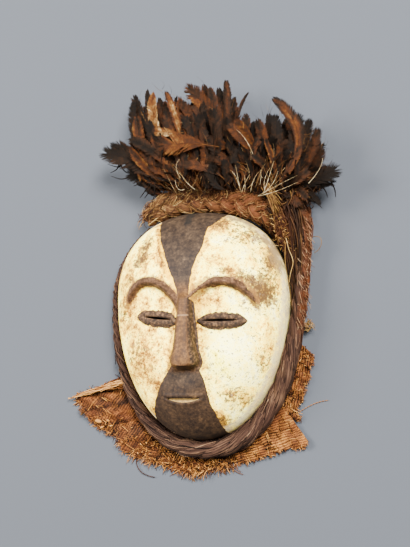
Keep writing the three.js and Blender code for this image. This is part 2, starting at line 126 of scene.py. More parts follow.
def tube_set(points):
    """Points and squares of closed tubes, from an array of tubes, rings, sides, 3. The squares turn round
    when six times the volume in them, the sum of (a x b) c + (a x c) d over their corners, is below 0."""
    count, nu, nv, _ = points.shape
    faces = np.concatenate([squares(count, nu, nv, True), end_caps(count, nu, nv)])
    flat = points.reshape(-1, 3)
    a, b, c, d = (flat[faces[:, n]] for n in range(4))
    if (np.cross(a, b) * c + np.cross(a, c) * d).sum() < 0:
        faces = faces[:, ::-1]
    return flat, faces


def sheet_set(points):
    """Points and squares of open strips or sheets from an array of sheets, rows, columns, 3."""
    count, nu, nv, _ = points.shape
    return points.reshape(-1, 3), squares(count, nu, nv)


print("squares of a sheet of 4 by 3 points:", len(squares(1, 4, 3)))

# %% Grids into dressed pieces
triangles_of = {}


def keep(mesh, attributes):
    """Keeps named values at a mesh's points, one number or three a point, where materials can read them."""
    for key, values in attributes.items():
        values = np.asarray(values, np.float32)
        kind, slot = ("FLOAT_VECTOR", "vector") if values.ndim == 2 else ("FLOAT", "value")
        mesh.attributes.new(key, kind, "POINT").data.foreach_set(slot, values.ravel())


def make_piece(name, sets, attributes=None):
    """One object from (points, squares) sets in face millimetres, with named values kept at its points."""
    starts = np.cumsum([0] + [len(points) for points, _ in sets])
    points = in_frame(np.concatenate([points for points, _ in sets]))
    faces = np.concatenate([faces + start for (_, faces), start in zip(sets, starts)])
    mesh = bpy.data.meshes.new(name)
    mesh.from_pydata(points, [], faces)
    keep(mesh, attributes or {})
    mesh.shade_smooth()
    piece = bpy.data.objects.new(name, mesh)
    bpy.context.scene.collection.objects.link(piece)
    return piece


def dress(piece, node, material):
    """The piece takes the place of a CAD node, which it hides, rides with the root body and wears a material.
    """
    piece.data.materials.clear()
    piece.data.materials.append(material)
    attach(piece, "root")
    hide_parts(node)
    triangles_of[piece.name] = len(piece.data.loops) - 2 * len(piece.data.polygons)
    print(piece.name, triangles_of[piece.name], "triangles")
    return piece


print("CAD nodes that pieces will take the place of:", len(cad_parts))

# %% [markdown]
# ## Shader helper
#
# A material is a graph of nodes. One function adds a node with its settings and its links, and returns the
# output that the next node needs. Patterns are sized from the real thing: a patch of clay that is 8 mm wide
# has the scale 1000/8, because object coordinates are in metres.

# %% Shader nodes


def new_material(name):
    """A material with its surface shader."""
    material = bpy.data.materials.new(name)
    material.use_nodes = True
    return material, material.node_tree.nodes["Principled BSDF"]


def add(material, kind, sockets=(), output=0, stops=(), **settings):
    """Adds a node and returns one of its outputs. Sockets are links, numbers or hex colours by order or name,
    settings are the node's own properties, and stops are a ramp's places and colours."""
    node = material.node_tree.nodes.new("ShaderNode" + kind)
    for key, value in settings.items():
        setattr(node, key, value)
    for key, value in sockets.items() if isinstance(sockets, dict) else enumerate(sockets):
        if isinstance(value, bpy.types.NodeSocket):
            material.node_tree.links.new(value, node.inputs[key])
        else:
            node.inputs[key].default_value = from_hex(value) if isinstance(value, str) else value
    elements = node.color_ramp.elements if stops else []
    while len(elements) < len(stops):
        elements.new(0.5)
    for element, (place, code) in zip(elements, stops):
        element.position, element.color = place, from_hex(code)
    return node.outputs[output]


def each(mm):
    """A pattern's scale in object coordinates, from the millimetres that one patch of it takes."""
    return 1000.0 / mm


# a colour Mix node's inputs for the share, the colour below and the colour above, and its output
SHARE, BELOW, ABOVE, MIXED = 0, 6, 7, 2
print("scale of a patch 8 mm wide:", each(8))

# %% [markdown]
# ## The carved face: its plain form
#
# The real face is one block of light wood, adzed hollow behind and smoothed in front. It could be sculpted
# by hand, but a carver's forms are few and regular, so each is written as a formula: an oval rim that is
# squarer at the crown, a boxy dome over it, eye hollows under arched brows, a wedge of a nose, almond lids
# and a narrow mouth.

# %% The face's numbers
HALF_WIDTH, WIDEST_Y, CROWN, CHIN = 116.0, 40.0, 110.0, 190.0
CROWN_POWER, CHIN_POWER = 2.2, 2.05
WALL, DOME, RIM_THICKNESS = 22.0, 68.0, 12.0
HOLLOW_WALL, HOLLOW_DOME, HOLLOW_POWER = 10.0, 66.0, 2.4
BROW_MIDDLE, EYE_MIDDLE, NOSE_MIDDLE, MOUTH_MIDDLE = -4.0, 0.5, -2.6, -9.0
EYE_ASIDE, EYE_HALF_WIDTH, EYE_HALF_HEIGHT = 43.0, 32.0, 10.8
MOUTH_Y, MOUTH_WIDTH, NOSE_TOP, NOSE_BOTTOM = -95.0, 52.0, 36.0, -58.0
# each brow's apex, how far it is from the brows' middle, and its widths towards the nose and away from it
LEFT_BROW, RIGHT_BROW, BROW_FALL = (54.5, 54, 40, 30), (52.0, 49, 43, 38), 22


def halves(y):
    """The outline's power and half height at each y: one pair above the widest place, one below."""
    above = y > WIDEST_Y
    return np.where(above, CROWN_POWER, CHIN_POWER), np.where(above, CROWN, CHIN)


def rim_outline(angle, inset=0.0):
    """A point on the rim: (a sgn(cos) |cos|^(2/n), b sgn(sin) |sin|^(2/n)), with a and b less the inset."""
    c, s = np.cos(angle), np.sin(angle)
    power = np.where(s > 0, CROWN_POWER, CHIN_POWER)
    half = np.where(s > 0, CROWN, CHIN) - inset
    x = (HALF_WIDTH - inset) * np.sign(c) * np.abs(c) ** (2 / power)
    return x, WIDEST_Y + half * np.sign(s) * np.abs(s) ** (2 / power)


def rim_normal(angle):
    """The outline's outward direction: the gradient (u^(n-1)/a, v^(n-1)/b) of its formula, made one long."""
    x, y = rim_outline(angle)
    power, half = halves(y)
    u, v = x / HALF_WIDTH, (y - WIDEST_Y) / half
    gx = np.sign(u) * np.abs(u) ** (power - 1) / HALF_WIDTH
    gy = np.sign(v) * np.abs(v) ** (power - 1) / half
    size = np.hypot(gx, gy)
    return gx / size, gy / size


def rim_share(x, y):
    """0 in the middle of the face and 1 on the rim: (|x/a|^n + |y/b|^n)^(1/n)."""
    power, half = halves(y)
    return (np.abs(x / HALF_WIDTH) ** power + np.abs((y - WIDEST_Y) / half) ** power) ** (1 / power)


print("face mm:", 2 * HALF_WIDTH, "by", CROWN + CHIN)

# %% The dome, its eye hollows and its muzzle


def brow_y(x):
    """The brow's line at x: its apex less 22 (distance from the apex / width)^2.1."""
    apex, aside, inner, outer = (np.where(x < BROW_MIDDLE, *pair) for pair in zip(LEFT_BROW, RIGHT_BROW))
    past = np.abs(x - BROW_MIDDLE) - aside
    return apex - BROW_FALL * np.abs(past / np.where(past > 0, outer, inner)) ** 2.1


def eye_line(x):
    """The height of each eye's slit at x: the left one is higher and falls towards the nose."""
    return np.where(x < EYE_MIDDLE, 6.8 - 0.12 * (x + 42.5), 2.8)


def dome_height(x, y):
    """Wall + rise sqrt(1 - share^p), less the eye hollows below the brows, plus a low muzzle at the mouth."""
    share = np.minimum(1, rim_share(x, y))
    power = 3.0 - smooth((y + 60) / 140)
    rise = DOME - 7 * smooth((y - WIDEST_Y) / CROWN)
    side = np.abs(x - BROW_MIDDLE)
    socket = 7 * smooth((brow_y(x) - y) / 10) * smooth((y + 55) / 50)
    socket *= smooth((side - 8) / 14) * smooth((1 - share) / 0.12) * smooth((104 - side) / 16)
    muzzle = 3 * spot(x, y, MOUTH_MIDDLE, MOUTH_Y, 38, 22)
    return WALL + rise * np.sqrt(1 - share**power) - socket + muzzle


bridge_and_cheek = dome_height(np.array([-3.0, 60.0]), np.array([20.0, -40.0]))
print("dome mm at the bridge and the cheek:", bridge_and_cheek.round(1))

# %% [markdown]
# ## The carved face: brows, nose, lids and mouth
#
# The features stand on that dome as heights too. A nose is laid over it with a soft maximum, so that it
# grows out of the cheeks as carved wood does, and does not look stuck on. Distances from each feature are
# kept apart from its height, because the painter followed the same edges with the brush.

# %% Where each feature lies


def soft_max(a, b, width):
    """The larger of two heights, rounded over a width: (a + b + sqrt((a - b)^2 + width^2) - width) / 2."""
    return (a + b + np.sqrt((a - b) ** 2 + width**2) - width) / 2


def brow_distance(x, y):
    """sqrt(off^2 + past^2): millimetres off the brow's line, square to it, and past either end of it."""
    side = np.abs(x - BROW_MIDDLE)
    slope = (brow_y(x + 0.5) - brow_y(x - 0.5)).clip(-3, 3)
    past = np.maximum(0, np.maximum(7 - side, side - np.where(x < 0, 80, 87)))
    return np.hypot((y - brow_y(x)) / np.sqrt(1 + slope**2), past)


def nose_half_width(y):
    """8.5 at the bridge to 18.5 at the tip, with low nostril wings just above the tip."""
    t = np.clip((NOSE_TOP - y) / (NOSE_TOP - NOSE_BOTTOM), 0, 1)
    return 8.5 + 9.5 * t**1.3 + 2.6 * np.exp(-(((y + 46) / 9) ** 2))


def almond(x, y):
    """0 along the middle of an eye's almond and 1 on its edge: |v| / (1 - |u|^3.6), u across and v up."""
    u = np.clip(np.abs((np.abs(x - EYE_MIDDLE) - EYE_ASIDE) / EYE_HALF_WIDTH), 0, 0.999)
    return np.maximum(np.abs(y - eye_line(x) + 0.9) / EYE_HALF_HEIGHT / (1 - u**3.6), u**9)


def slot_depth(x, y):
    """Millimetres inside the mouth's slot: below its straight upper edge and above its bowed lower one."""
    t = np.clip((x - MOUTH_MIDDLE + MOUTH_WIDTH / 2) / MOUTH_WIDTH, 0, 1)
    return np.minimum(MOUTH_Y - y, y - MOUTH_Y + 26 * t * (1 - t))


def uneven(x, y, seed, longest, amount):
    """A hand's unevenness: the sum over 2.8 of eight seeded sine waves, down to a third of the longest."""
    rng = np.random.default_rng(seed)
    total = np.zeros(np.broadcast(x, y).shape)
    for turn, size, phase in zip(rng.uniform(0, np.pi, 8), rng.uniform(0.33, 1, 8), rng.uniform(0, 6.3, 8)):
        total += np.sin(2 * np.pi * (x * np.cos(turn) + y * np.sin(turn)) / (size * longest) + phase)
    return amount * total / 2.8


print("nose mm wide at the tip:", 2 * nose_half_width(NOSE_BOTTOM).round(1))

# %% The face's height


def nose_height(x, y):
    """The nose, and where it is: (7 + 16 t^0.8) (1 - u^2.3)^(1/2.3) over the dome, t down and u across."""
    t = np.clip((NOSE_TOP - y) / (NOSE_TOP - NOSE_BOTTOM), 0, 1)
    u = np.clip(np.abs(x - NOSE_MIDDLE) / nose_half_width(y), 0, 1)
    end = smooth((y - NOSE_BOTTOM - 5 * u**3 + 2.5) / 6)
    rise = (7 + 16 * t**0.8) * smooth((NOSE_TOP + 7 - y) / 14) * end
    tip = 1.6 * np.exp(-(((y + 45) / 11) ** 2) - (u / 0.7) ** 2)
    nose = dome_height(NOSE_MIDDLE + 0 * x, y) - 2 + (rise + tip + 2) * (1 - u**2.3) ** (1 / 2.3)
    inside = (u < 1) & (y < NOSE_TOP + 7) & (y > NOSE_BOTTOM - 2.5)
    return nose, inside


def face_height(x, y):
    """The dome with brow ridges, lids, lips and nose on it, and the mouth's slot pressed in."""
    inner = smooth((1 - rim_share(x, y)) / 0.05)
    base = dome_height(x, y) + inner * uneven(x, y, 3, 60, 0.45)
    brow = 0.5 + 0.5 * np.cos(np.pi * np.clip(brow_distance(x, y) / 7.8, 0, 1))
    lid = 3.4 * smooth((1 - almond(x, y)) / 0.5)
    slit = 2.2 * np.exp(-(((y - eye_line(x)) / 1.7) ** 2))
    slit *= smooth((22.5 - np.abs(np.abs(x - EYE_MIDDLE) - EYE_ASIDE)) / 4)
    lip_width = smooth((30 - np.abs(x - MOUTH_MIDDLE)) / 6)
    upper_lip = 0.8 * np.exp(-(((y - MOUTH_Y - 2.6) / 2.2) ** 2)) * lip_width
    lower_lip = 0.9 * np.exp(-((slot_depth(x, y) + 2.0) / 2.0) ** 2) * lip_width * (y < MOUTH_Y)
    slot = 4.5 * smooth(slot_depth(x, y) / 1.6)
    height = base + inner * (4.6 * brow + lid - slit + upper_lip + lower_lip - slot)
    nose, inside = nose_height(x, y)
    return soft_max(height, np.where(inside, nose, height - 30), 2.4)


print("nose tip mm:", face_height(np.array([NOSE_MIDDLE]), np.array([-45.0])).round(1))

# %% [markdown]
# ## The carved face: its mesh
#
# One grid makes the whole shell: rings run from the middle of the face out to the rim, down its wall,
# across the flat back of the rim and up into the hollow, and every ring has the same number of points. The
# eye slits are then cut right through with a Boolean, because a grid of heights has no holes.

# %% Front, wall and hollow as rings
TURNS, FRONT_RINGS, HOLLOW_RINGS = 330, 138, 28
turn = 2 * np.pi * np.arange(TURNS) / TURNS
rim_x, rim_y = rim_outline(turn)
back_x, back_y = rim_outline(turn, RIM_THICKNESS)

INNERMOST = 0.004
t = np.linspace(INNERMOST, 1, FRONT_RINGS)[:, None]
outwards = np.minimum(1, t + 0.1 * np.sin(np.pi * t))
front_x, front_y = rim_x * outwards, WIDEST_Y + (rim_y - WIDEST_Y) * outwards
front = np.stack([front_x, front_y, face_height(front_x, front_y)], -1)
front[-1, :, 2] = WALL

# how far inside the outline and how high each ring of the wall and of the rim's back is
edge = np.array([[0, 16], [0, 10], [0, 5], [0, 1], [1, 0], [RIM_THICKNESS - 1, 0], [RIM_THICKNESS, 1]])
edge_x, edge_y = rim_outline(turn[None, :], edge[:, :1])
wall = np.stack([edge_x, edge_y, np.broadcast_to(edge[:, 1:], edge_x.shape)], -1)

s = np.cos(np.linspace(0, 1, HOLLOW_RINGS) * np.pi / 2)[:, None].clip(INNERMOST)
hollow_x, hollow_y = back_x * s, WIDEST_Y + (back_y - WIDEST_Y) * s
hollow_z = HOLLOW_WALL + HOLLOW_DOME * np.sqrt(np.maximum(0, 1 - s**HOLLOW_POWER))
hollow_z = hollow_z + uneven(hollow_x, hollow_y, 8, 45, 0.9) * smooth((1 - s) / 0.2)
hollow = np.stack([hollow_x, hollow_y, hollow_z], -1)

shell = make_piece("carved_wooden_face", [tube_set(np.concatenate([front, wall, hollow])[None])])
print("rings:", FRONT_RINGS + len(edge) + HOLLOW_RINGS)

# %% Cut the eye slits
SLIT_MIDDLES, SLIT_HALF_LENGTHS, SLIT_HALF_HEIGHT = (-42.5, 40.5), (18.5, 22.0), 1.4
SLIT_POINTS, CUT_LOW, CUT_HIGH = 48, 20.0, 130.0
slit_turn = 2 * np.pi * np.arange(SLIT_POINTS) / SLIT_POINTS
slits = np.empty((2, 2, SLIT_POINTS, 3))
for eye in (0, 1):
    slits[eye, :, :, 0] = SLIT_MIDDLES[eye] + SLIT_HALF_LENGTHS[eye] * np.cos(slit_turn)
    slits[eye, :, :, 1] = eye_line(slits[eye, :, :, 0]) + SLIT_HALF_HEIGHT * np.sin(slit_turn)
    slits[eye, :, :, 2] = np.array([[CUT_LOW], [CUT_HIGH]])
cutter = make_piece("slit_cutter", [tube_set(slits)])
cut = shell.modifiers.new("slits", "BOOLEAN")
cut.operation, cut.solver, cut.object = "DIFFERENCE", "MANIFOLD", cutter
bpy.context.view_layer.update()
shell.data = bpy.data.meshes.new_from_object(shell.evaluated_get(bpy.context.evaluated_depsgraph_get()))
shell.modifiers.clear()
bpy.data.objects.remove(cutter)
shell.data.shade_smooth()
shell.data.set_sharp_from_angle(angle=math.radians(55))
print("face points:", len(shell.data.vertices))

# %% [markdown]
# ## Where the painter's brush went
#
# The paint is a traditional pattern: white clay all over, a dark band that narrows from the crown to the
# bridge, runs down the nose and widens over the chin, dark brows and dark lids. Each edge is kept on the
# mesh as a signed distance in millimetres, below 0 inside the paint, so that the material can roughen it.
# Softer values say where the clay has yellowed, where it has rubbed off and where its outermost band, at the
# rim and its wall, turns a greyer tan.

# %% The dark band's edges
place = np.empty(len(shell.data.vertices) * 3, np.float32)
shell.data.vertices.foreach_get("co", place)
fx, fy, fz = ((place.reshape(-1, 3) - RIM_MIDDLE) * 1000).T
NOSE_END, BAND_START = -57, 30
level = np.linspace(-150, 150, 61)
left_edge = np.interp(level, [-150, -125, -112, -100, -77, NOSE_END], [-62, -59, -55, -50, -38, -24])
right_edge = np.interp(level, [-150, -136, -118, -100, -78, NOSE_END], [40, 36.6, 31.7, 26, 22.5, 15])
on_nose = (level > NOSE_END) & (level < BAND_START)
left_edge = np.where(on_nose, NOSE_MIDDLE - nose_half_width(level) - 1, left_edge)
right_edge = np.where(on_nose, NOSE_MIDDLE + nose_half_width(level) + 2.8, right_edge)
top = level >= BAND_START
left_at, left_x = [BAND_START, 44, 64, 88, 111, 137, 150], [-11.5, -14, -23, -34, -44, -53, -56]
right_at = [BAND_START, 42, 56, 72, 86, 98, 112, 125, 136, 150]
right_x = [4.5, 3, 4, 7, 11.5, 17.5, 17, 20, 33, 41]
left_edge[top] = np.interp(level[top], left_at, left_x)
right_edge[top] = np.interp(level[top], right_at, right_x)
dark = np.maximum(np.interp(fy, level, left_edge) - fx, fx - np.interp(fy, level, right_edge))
print("dark band mm wide at the bridge:", round(float((right_edge - left_edge)[top].min()), 1))

# %% Yellowed, rubbed and grimy places


def patches(*rows):
    """Soft patches: the sum of spots from rows of how much, middle x and y, and how wide and tall."""
    return sum(amount * spot(fx, fy, *where) for amount, *where in rows)


share_here = rim_share(fx, fy)
# the back is what lies below the middle between the dome and the hollow, and the flat of the rim
halfway = (dome_height(fx, fy) + HOLLOW_DOME * np.sqrt(np.maximum(0, 1 - share_here**HOLLOW_POWER))) / 2
is_back = ((fz < halfway) & (share_here < 0.93)) | (fz < 0.6)
yellowed = patches(
    (0.75, -66, -20, 26, 40), (0.7, -86, 30, 16, 30), (1.1, 36, -124, 14, 10), (0.5, 24, -20, 12, 60),
    (0.7, 26, 26, 22, 10), (0.7, -34, 30, 20, 10), (0.9, 36, 124, 26, 12), (0.6, -58, -66, 20, 30),
    (0.9, -32, 62, 9, 34), (0.6, 44, 74, 26, 14), (1.1, 98, -30, 9, 40), (0.9, 74, -86, 18, 16),
    (0.8, 106, 60, 12, 40), (0.7, 84, 96, 20, 16), (0.6, -90, 74, 14, 26), (0.5, -20, -30, 8, 40),
    (-0.8, 48, -46, 34, 36),
)  # fmt: skip
rubbed = patches(
    (0.45, -58, -46, 20, 26), (0.45, -80, -40, 12, 26), (1.5, 90, 36, 17, 17), (0.9, 70, 56, 16, 9),
    (1.0, -70, 84, 11, 11), (1.0, -64, 104, 9, 12), (0.9, 34, 130, 24, 9), (0.8, 70, 112, 26, 12),
    (0.95, 100, 84, 10, 26), (0.5, -98, 20, 10, 30), (0.3, 40, -74, 20, 26), (0.8, -30, 100, 7, 20),
    (0.4, 92, -50, 12, 26), (0.9, 36, -124, 12, 9), (0.5, -84, 60, 10, 20), (0.55, 62, -98, 16, 12),
    (0.6, 46, 66, 10, 8), (1.5, 118, 15, 3, 9),
)  # fmt: skip
near_dark = smooth((11 - dark) / 9)
along_rim = smooth((share_here - 0.84) / 0.13) * smooth((fy - 30) / 50) * smooth((fx - 10) / 30)
brow = brow_distance(fx, fy)
# millimetres by which the brows' paint narrows: at the right one's inner end, then at both outer ends
fading = 4 * smooth((34 - fx) / 16) * (fx > BROW_MIDDLE)
fading += 3 * smooth((fx - 68) / 14)
fading += 2.4 * smooth((-80 - fx) / 12)
worn_nose = smooth((58 - fy) / 20) * smooth((fy + 66) / 8) * smooth((26 - np.abs(fx - NOSE_MIDDLE)) / 6)
across_nose = (fx - NOSE_MIDDLE) / nose_half_width(fy)
# below 0 inside the thin pale line across the nose's bridge
crack = np.maximum(np.abs(fy - 8.6 - 0.03 * fx) - 1.0, np.abs(fx + 3.2) - 8.5)
paint_values = {
    "dark_paint": dark,
    "brow_paint": brow - 6.2 + fading,
    "brow_edge": brow - 8.0,
    "lid_paint": (almond(fx, fy) - 1.02) * 10,
    "mouth_clay": 0.6 - slot_depth(fx, fy),
    "bare_back": is_back.astype(float),
    "yellowed": yellowed + (0.8 + 0.5 * smooth(fy / 20)) * near_dark,
    "rubbed": rubbed,
    # a greyer tan on the outermost band of the face, at the rim and its wall
    "grime": smooth((share_here - 0.94) / 0.04),
    "lemon": patches((1.0, 44, -50, 34, 44), (0.8, 40, 78, 24, 24), (0.7, 40, 4, 30, 14)),
    "rim_tan": along_rim,
    "nose_wear": worn_nose,
    # painted shade: the dark paint on the nose's right flank, a side plane, is made darker
    "nose_flank": (dark < 0) * smooth((across_nose - 0.45) / 0.3) * (np.abs(fy + 15) < 48),
    "black_smear": patches((1.2, -10, 140, 6, 14)),
    "crack": crack,
    # darker, warmer dark paint on the chin: partly the paint's own colour, partly painted shade
    "to_chin": smooth((-62 - fy) / 30),
    # painted light: lighter clay towards the right, the side the key light falls on
    "to_right": smooth((fx + 60) / 120),
}
keep(shell.data, paint_values)
print("paint values:", list(paint_values))

# %% [markdown]
# ## Clay, dark paint and bare wood
#
# The face wears white kaolin clay that has yellowed, chipped and darkened where hands and brows rub, over a
# light wood. The dark paint is soot and resin, and a little less matt. The clay is chalky, so it gets a
# high roughness and no coat. Noise moves every painted edge by a millimetre or so, as a brush on wood does.

# %% Patterns on the face
painted, shader = new_material("kaolin_clay_and_soot_paint_on_light_wood")
here = add(painted, "TexCoord", output="Object")
# millimetres of a patch, detail, roughness and seed of each pattern
grains = {
    "brushed": (9, 4, 0.6, 0.0), "fine": (2.2, 3, 0.7, 1.3), "cloudy": (30, 8, 0.72, 2.1),
    "clouded": (13, 7, 0.75, 3.4), "chipped": (7, 6, 0.75, 4.8), "sooty": (11, 8, 0.8, 5.2),
    "stained": (24, 6, 0.7, 6.6), "dotted": (3.4, 4, 0.7, 7.9),
}  # fmt: skip
pattern = {}
for name, (mm, detail, rough, seed) in grains.items():
    sockets = {"Vector": here, "W": seed, "Scale": each(mm), "Detail": detail, "Roughness": rough}
    pattern[name] = add(painted, "TexNoise", sockets, noise_dimensions="4D")
print("patterns:", list(pattern))

# %% Coats, wear and painted light and shade, one over the other


def blend(first, share, second):
    """Two patterns added up: the first times a share, plus the second times the rest."""
    rest = add(painted, "Math", [second, 1 - share], operation="MULTIPLY")
    return add(painted, "Math", [first, share, rest], operation="MULTIPLY_ADD")


kept = {name: add(painted, "Attribute", output="Fac", attribute_name=name) for name in paint_values}
clay_place = blend(blend(pattern["cloudy"], 0.45, pattern["clouded"]), 0.76, pattern["dotted"])
# painted light: the clay is read a little lighter towards the right, where the key light falls
clay_place = add(painted, "Math", [kept["to_right"], 0.03, clay_place], operation="MULTIPLY_ADD")
clay_place = add(painted, "Math", [kept["yellowed"], -0.055, clay_place], operation="MULTIPLY_ADD")
# where each coat's ramp is read, and the ramp
coats = {
    "clay": (clay_place, [
        (0.405, "#553206"), (0.428, "#8A6018"), (0.448, "#B88A28"), (0.467, "#DDB032"), (0.488, "#FAD23C"),
        (0.512, "#FFE760"), (0.545, "#FFEE78"), (0.58, "#FFF8AC"),
    ]),
    "soot": (blend(pattern["sooty"], 0.55, pattern["dotted"]), [
        (0.34, "#0A0504"), (0.44, "#170E07"), (0.52, "#261B11"), (0.6, "#382A1C"), (0.7, "#54422C"),
    ]),
    "nose": (blend(pattern["sooty"], 0.5, pattern["dotted"]), [
        (0.34, "#1C1108"), (0.5, "#3A240F"), (0.62, "#5C3E1C"), (0.74, "#7E5C30"),
    ]),
    "brow": (blend(pattern["chipped"], 0.6, pattern["dotted"]), [
        (0.36, "#1A0F07"), (0.46, "#2E1C0D"), (0.55, "#493220"), (0.66, "#86643C"),
    ]),
    "lid": (pattern["dotted"], [(0.34, "#100B06"), (0.5, "#271A10"), (0.66, "#563F28")]),
    "wood": (pattern["sooty"], [(0.35, "#513924"), (0.65, "#876845")]),
}  # fmt: skip
coat = {name: add(painted, "ValToRGB", [place], stops=stops) for name, (place, stops) in coats.items()}
# a value at the points, its weight, the pattern added to it, where the layer starts and where it is full,
# how strong it gets, and its colour
layers = [
    ("yellowed", 0.17, "clouded", 0.6, 0.88, 1.0, "#E4AC00"),
    ("lemon", 0.24, "clouded", 0.6, 0.86, 0.9, "#FFEC00"),
    ("rubbed", 0.12, "stained", 0.57, 0.72, 0.4, "#A8721C"),
    ("rubbed", 0.13, "clouded", 0.58, 0.68, 0.5, "#84581C"),
    ("rubbed", 0.15, "chipped", 0.58, 0.63, 0.82, "#5E3C14"),
    ("rubbed", 0.13, "dotted", 0.58, 0.62, 0.88, "#3C2610"),
    ("rubbed", 0.06, "fine", 0.61, 0.66, 0.6, "#4A3418"),
    ("grime", 0.3, "chipped", 0.58, 0.84, 0.8, "#B4A27C"),
    ("rim_tan", 0.29, "clouded", 0.62, 0.84, 0.92, "#685230"),
    ("brow_edge", -0.1, "chipped", 0.36, 0.66, 0.7, "#6B4720"),
    ("brow_paint", -0.12, "chipped", 0.44, 0.55, 1.0, coat["brow"]),
    ("lid_paint", -0.09, "chipped", 0.44, 0.54, 1.0, coat["lid"]),
    ("dark_paint", -0.2, "brushed", 0.42, 0.58, 1.0, coat["soot"]),
    # painted shade darkens the nose's right flank
    ("nose_flank", 1.0, "sooty", 0.9, 1.35, 0.95, coat["lid"]),
    ("black_smear", 0.5, "chipped", 0.62, 0.9, 0.7, "#0B0A08"),
    ("crack", -1.0, "fine", 0.35, 0.75, 0.7, "#6E553A"),
    ("mouth_clay", -1.0, "fine", 0.4, 0.6, 0.9, "#7A6238"),
    ("bare_back", 1.0, "fine", 0.9, 1.1, 1.0, coat["wood"]),
]
colour = coat["clay"]
covered = {}
for name, weight, added, low, high, strength, above in layers:
    value = add(painted, "Math", [kept[name], weight, pattern[added]], operation="MULTIPLY_ADD")
    limits = [value, low, high, 0.0, strength]
    covered[name] = add(painted, "MapRange", limits, interpolation_type="SMOOTHSTEP")
    colour = add(painted, "Mix", {SHARE: covered[name], BELOW: colour, ABOVE: above}, MIXED, data_type="RGBA")
    if name != "dark_paint":
        continue
    # the dark paint is browner where the nose is worn, and a little darker and warmer on the chin, partly its
    # own colour and partly painted shade where the chin turns down from the light
    for place, above, blending in (("nose_wear", coat["nose"], "MIX"), ("to_chin", "#FFF0D6", "MULTIPLY")):
        share = add(painted, "Math", [kept[place], covered[name]], operation="MULTIPLY")
        sockets = {SHARE: share, BELOW: colour, ABOVE: above}
        colour = add(painted, "Mix", sockets, MIXED, data_type="RGBA", blend_type=blending)
print("layers on the wood:", len(layers))

# %% Finish of the painted wood
painted.node_tree.links.new(colour, shader.inputs["Base Color"])
gloss = add(painted, "MapRange", [covered["dark_paint"], 0.0, 1.0, 0.85, 0.66])
painted.node_tree.links.new(gloss, shader.inputs["Roughness"])
shader.inputs["Specular IOR Level"].default_value = 0.14
worn_down = add(painted, "MapRange", [covered["rubbed"], 0.0, 0.8, 0.0, -0.9])
relief = add(painted, "Math", [pattern["fine"], 0.5, worn_down], operation="MULTIPLY_ADD")
relief = add(painted, "Math", [pattern["chipped"], 0.7, relief], operation="MULTIPLY_ADD")
bump = add(painted, "Bump", {"Height": relief, "Strength": 0.5, "Distance": 0.0006})
painted.node_tree.links.new(bump, shader.inputs["Normal"])
dress(shell, "carved_face", painted)

# %% [markdown]
# ## Paths and threads
#
# Rope, plait, straw and frayed cloth are all fibres that follow a path, so they share a few functions: one
# draws a smooth line through measured points, one makes thin tubes round many paths at once, and one lays
# loose fibres on thicker strands, as raffia lies in a twisted cord. A strand's own fibres are too fine to
# model, and come from bump. Loose hairs are drawn a little thicker than real ones, so that they show.

# %% Lines and tubes
# steps on each stretch of a line before it is read at even lengths
FINE_STEPS = 60


def through(points, count):
    """A smooth line through points: the uniform Catmull-Rom cubic, read at even lengths of its x and y."""
    p = np.asarray(points, float)
    p = np.concatenate([2 * p[:1] - p[1:2], p, 2 * p[-1:] - p[-2:-1]])
    t = np.linspace(0, len(p) - 3, FINE_STEPS * len(p))
    k = np.minimum(t.astype(int), len(p) - 4)
    u = (t - k)[:, None]
    a, b, c, d = p[k], p[k + 1], p[k + 2], p[k + 3]
    line = (2 * b + (c - a) * u + (2 * a - 5 * b + 4 * c - d) * u**2 + (3 * b - a - 3 * c + d) * u**3) / 2
    length = np.append(0, np.cumsum(np.linalg.norm(np.diff(line[:, :2], axis=0), axis=1)))
    even = np.linspace(0, length[-1], count)
    return np.stack([np.interp(even, length, column) for column in line.T], 1)


def beside(paths):
    """The level direction beside each point of the paths, and the one square to it and to the path."""
    tangent = np.gradient(paths, axis=-2)
    side = np.cross(tangent, (0.0, 0.0, 1.0)) + (1e-6, 0, 0)
    up = np.cross(side, tangent)
    return unit(side), unit(up)


def threads(paths, radius, sides=4):
    """Tubes round many paths: point + radius (cos a beside + sin a up), with a round the section."""
    side, up = beside(paths)
    a = (2 * np.pi * (np.arange(sides) + 0.5) / sides)[:, None]
    radius = np.broadcast_to(radius, paths.shape[:-1])[..., None, None]
    return paths[..., None, :] + radius * (np.cos(a) * side[..., None, :] + np.sin(a) * up[..., None, :])


print("a line through three points:", through([[0, 0], [10, 0], [20, 5]], 4).round(1).tolist())

# %% Fibres that lie on strands, and short loose ones
# how high above the floor a fibre's middle line stays
LOWEST_FIBRE, LOWEST_BENT = 0.7, 1.3


def polar(length, angle, z, x=0.0, y=0.0):
    """Points or directions: (x + length cos(angle), y + length sin(angle), z)."""
    return np.stack([x + length * np.cos(angle), y + length * np.sin(angle), z], 1)


def scatter(rng, count, *spread):
    """Seeded offsets in x, y and z, normally distributed with these spreads in millimetres."""
    return rng.normal(0, 1, (count, 3)) * spread


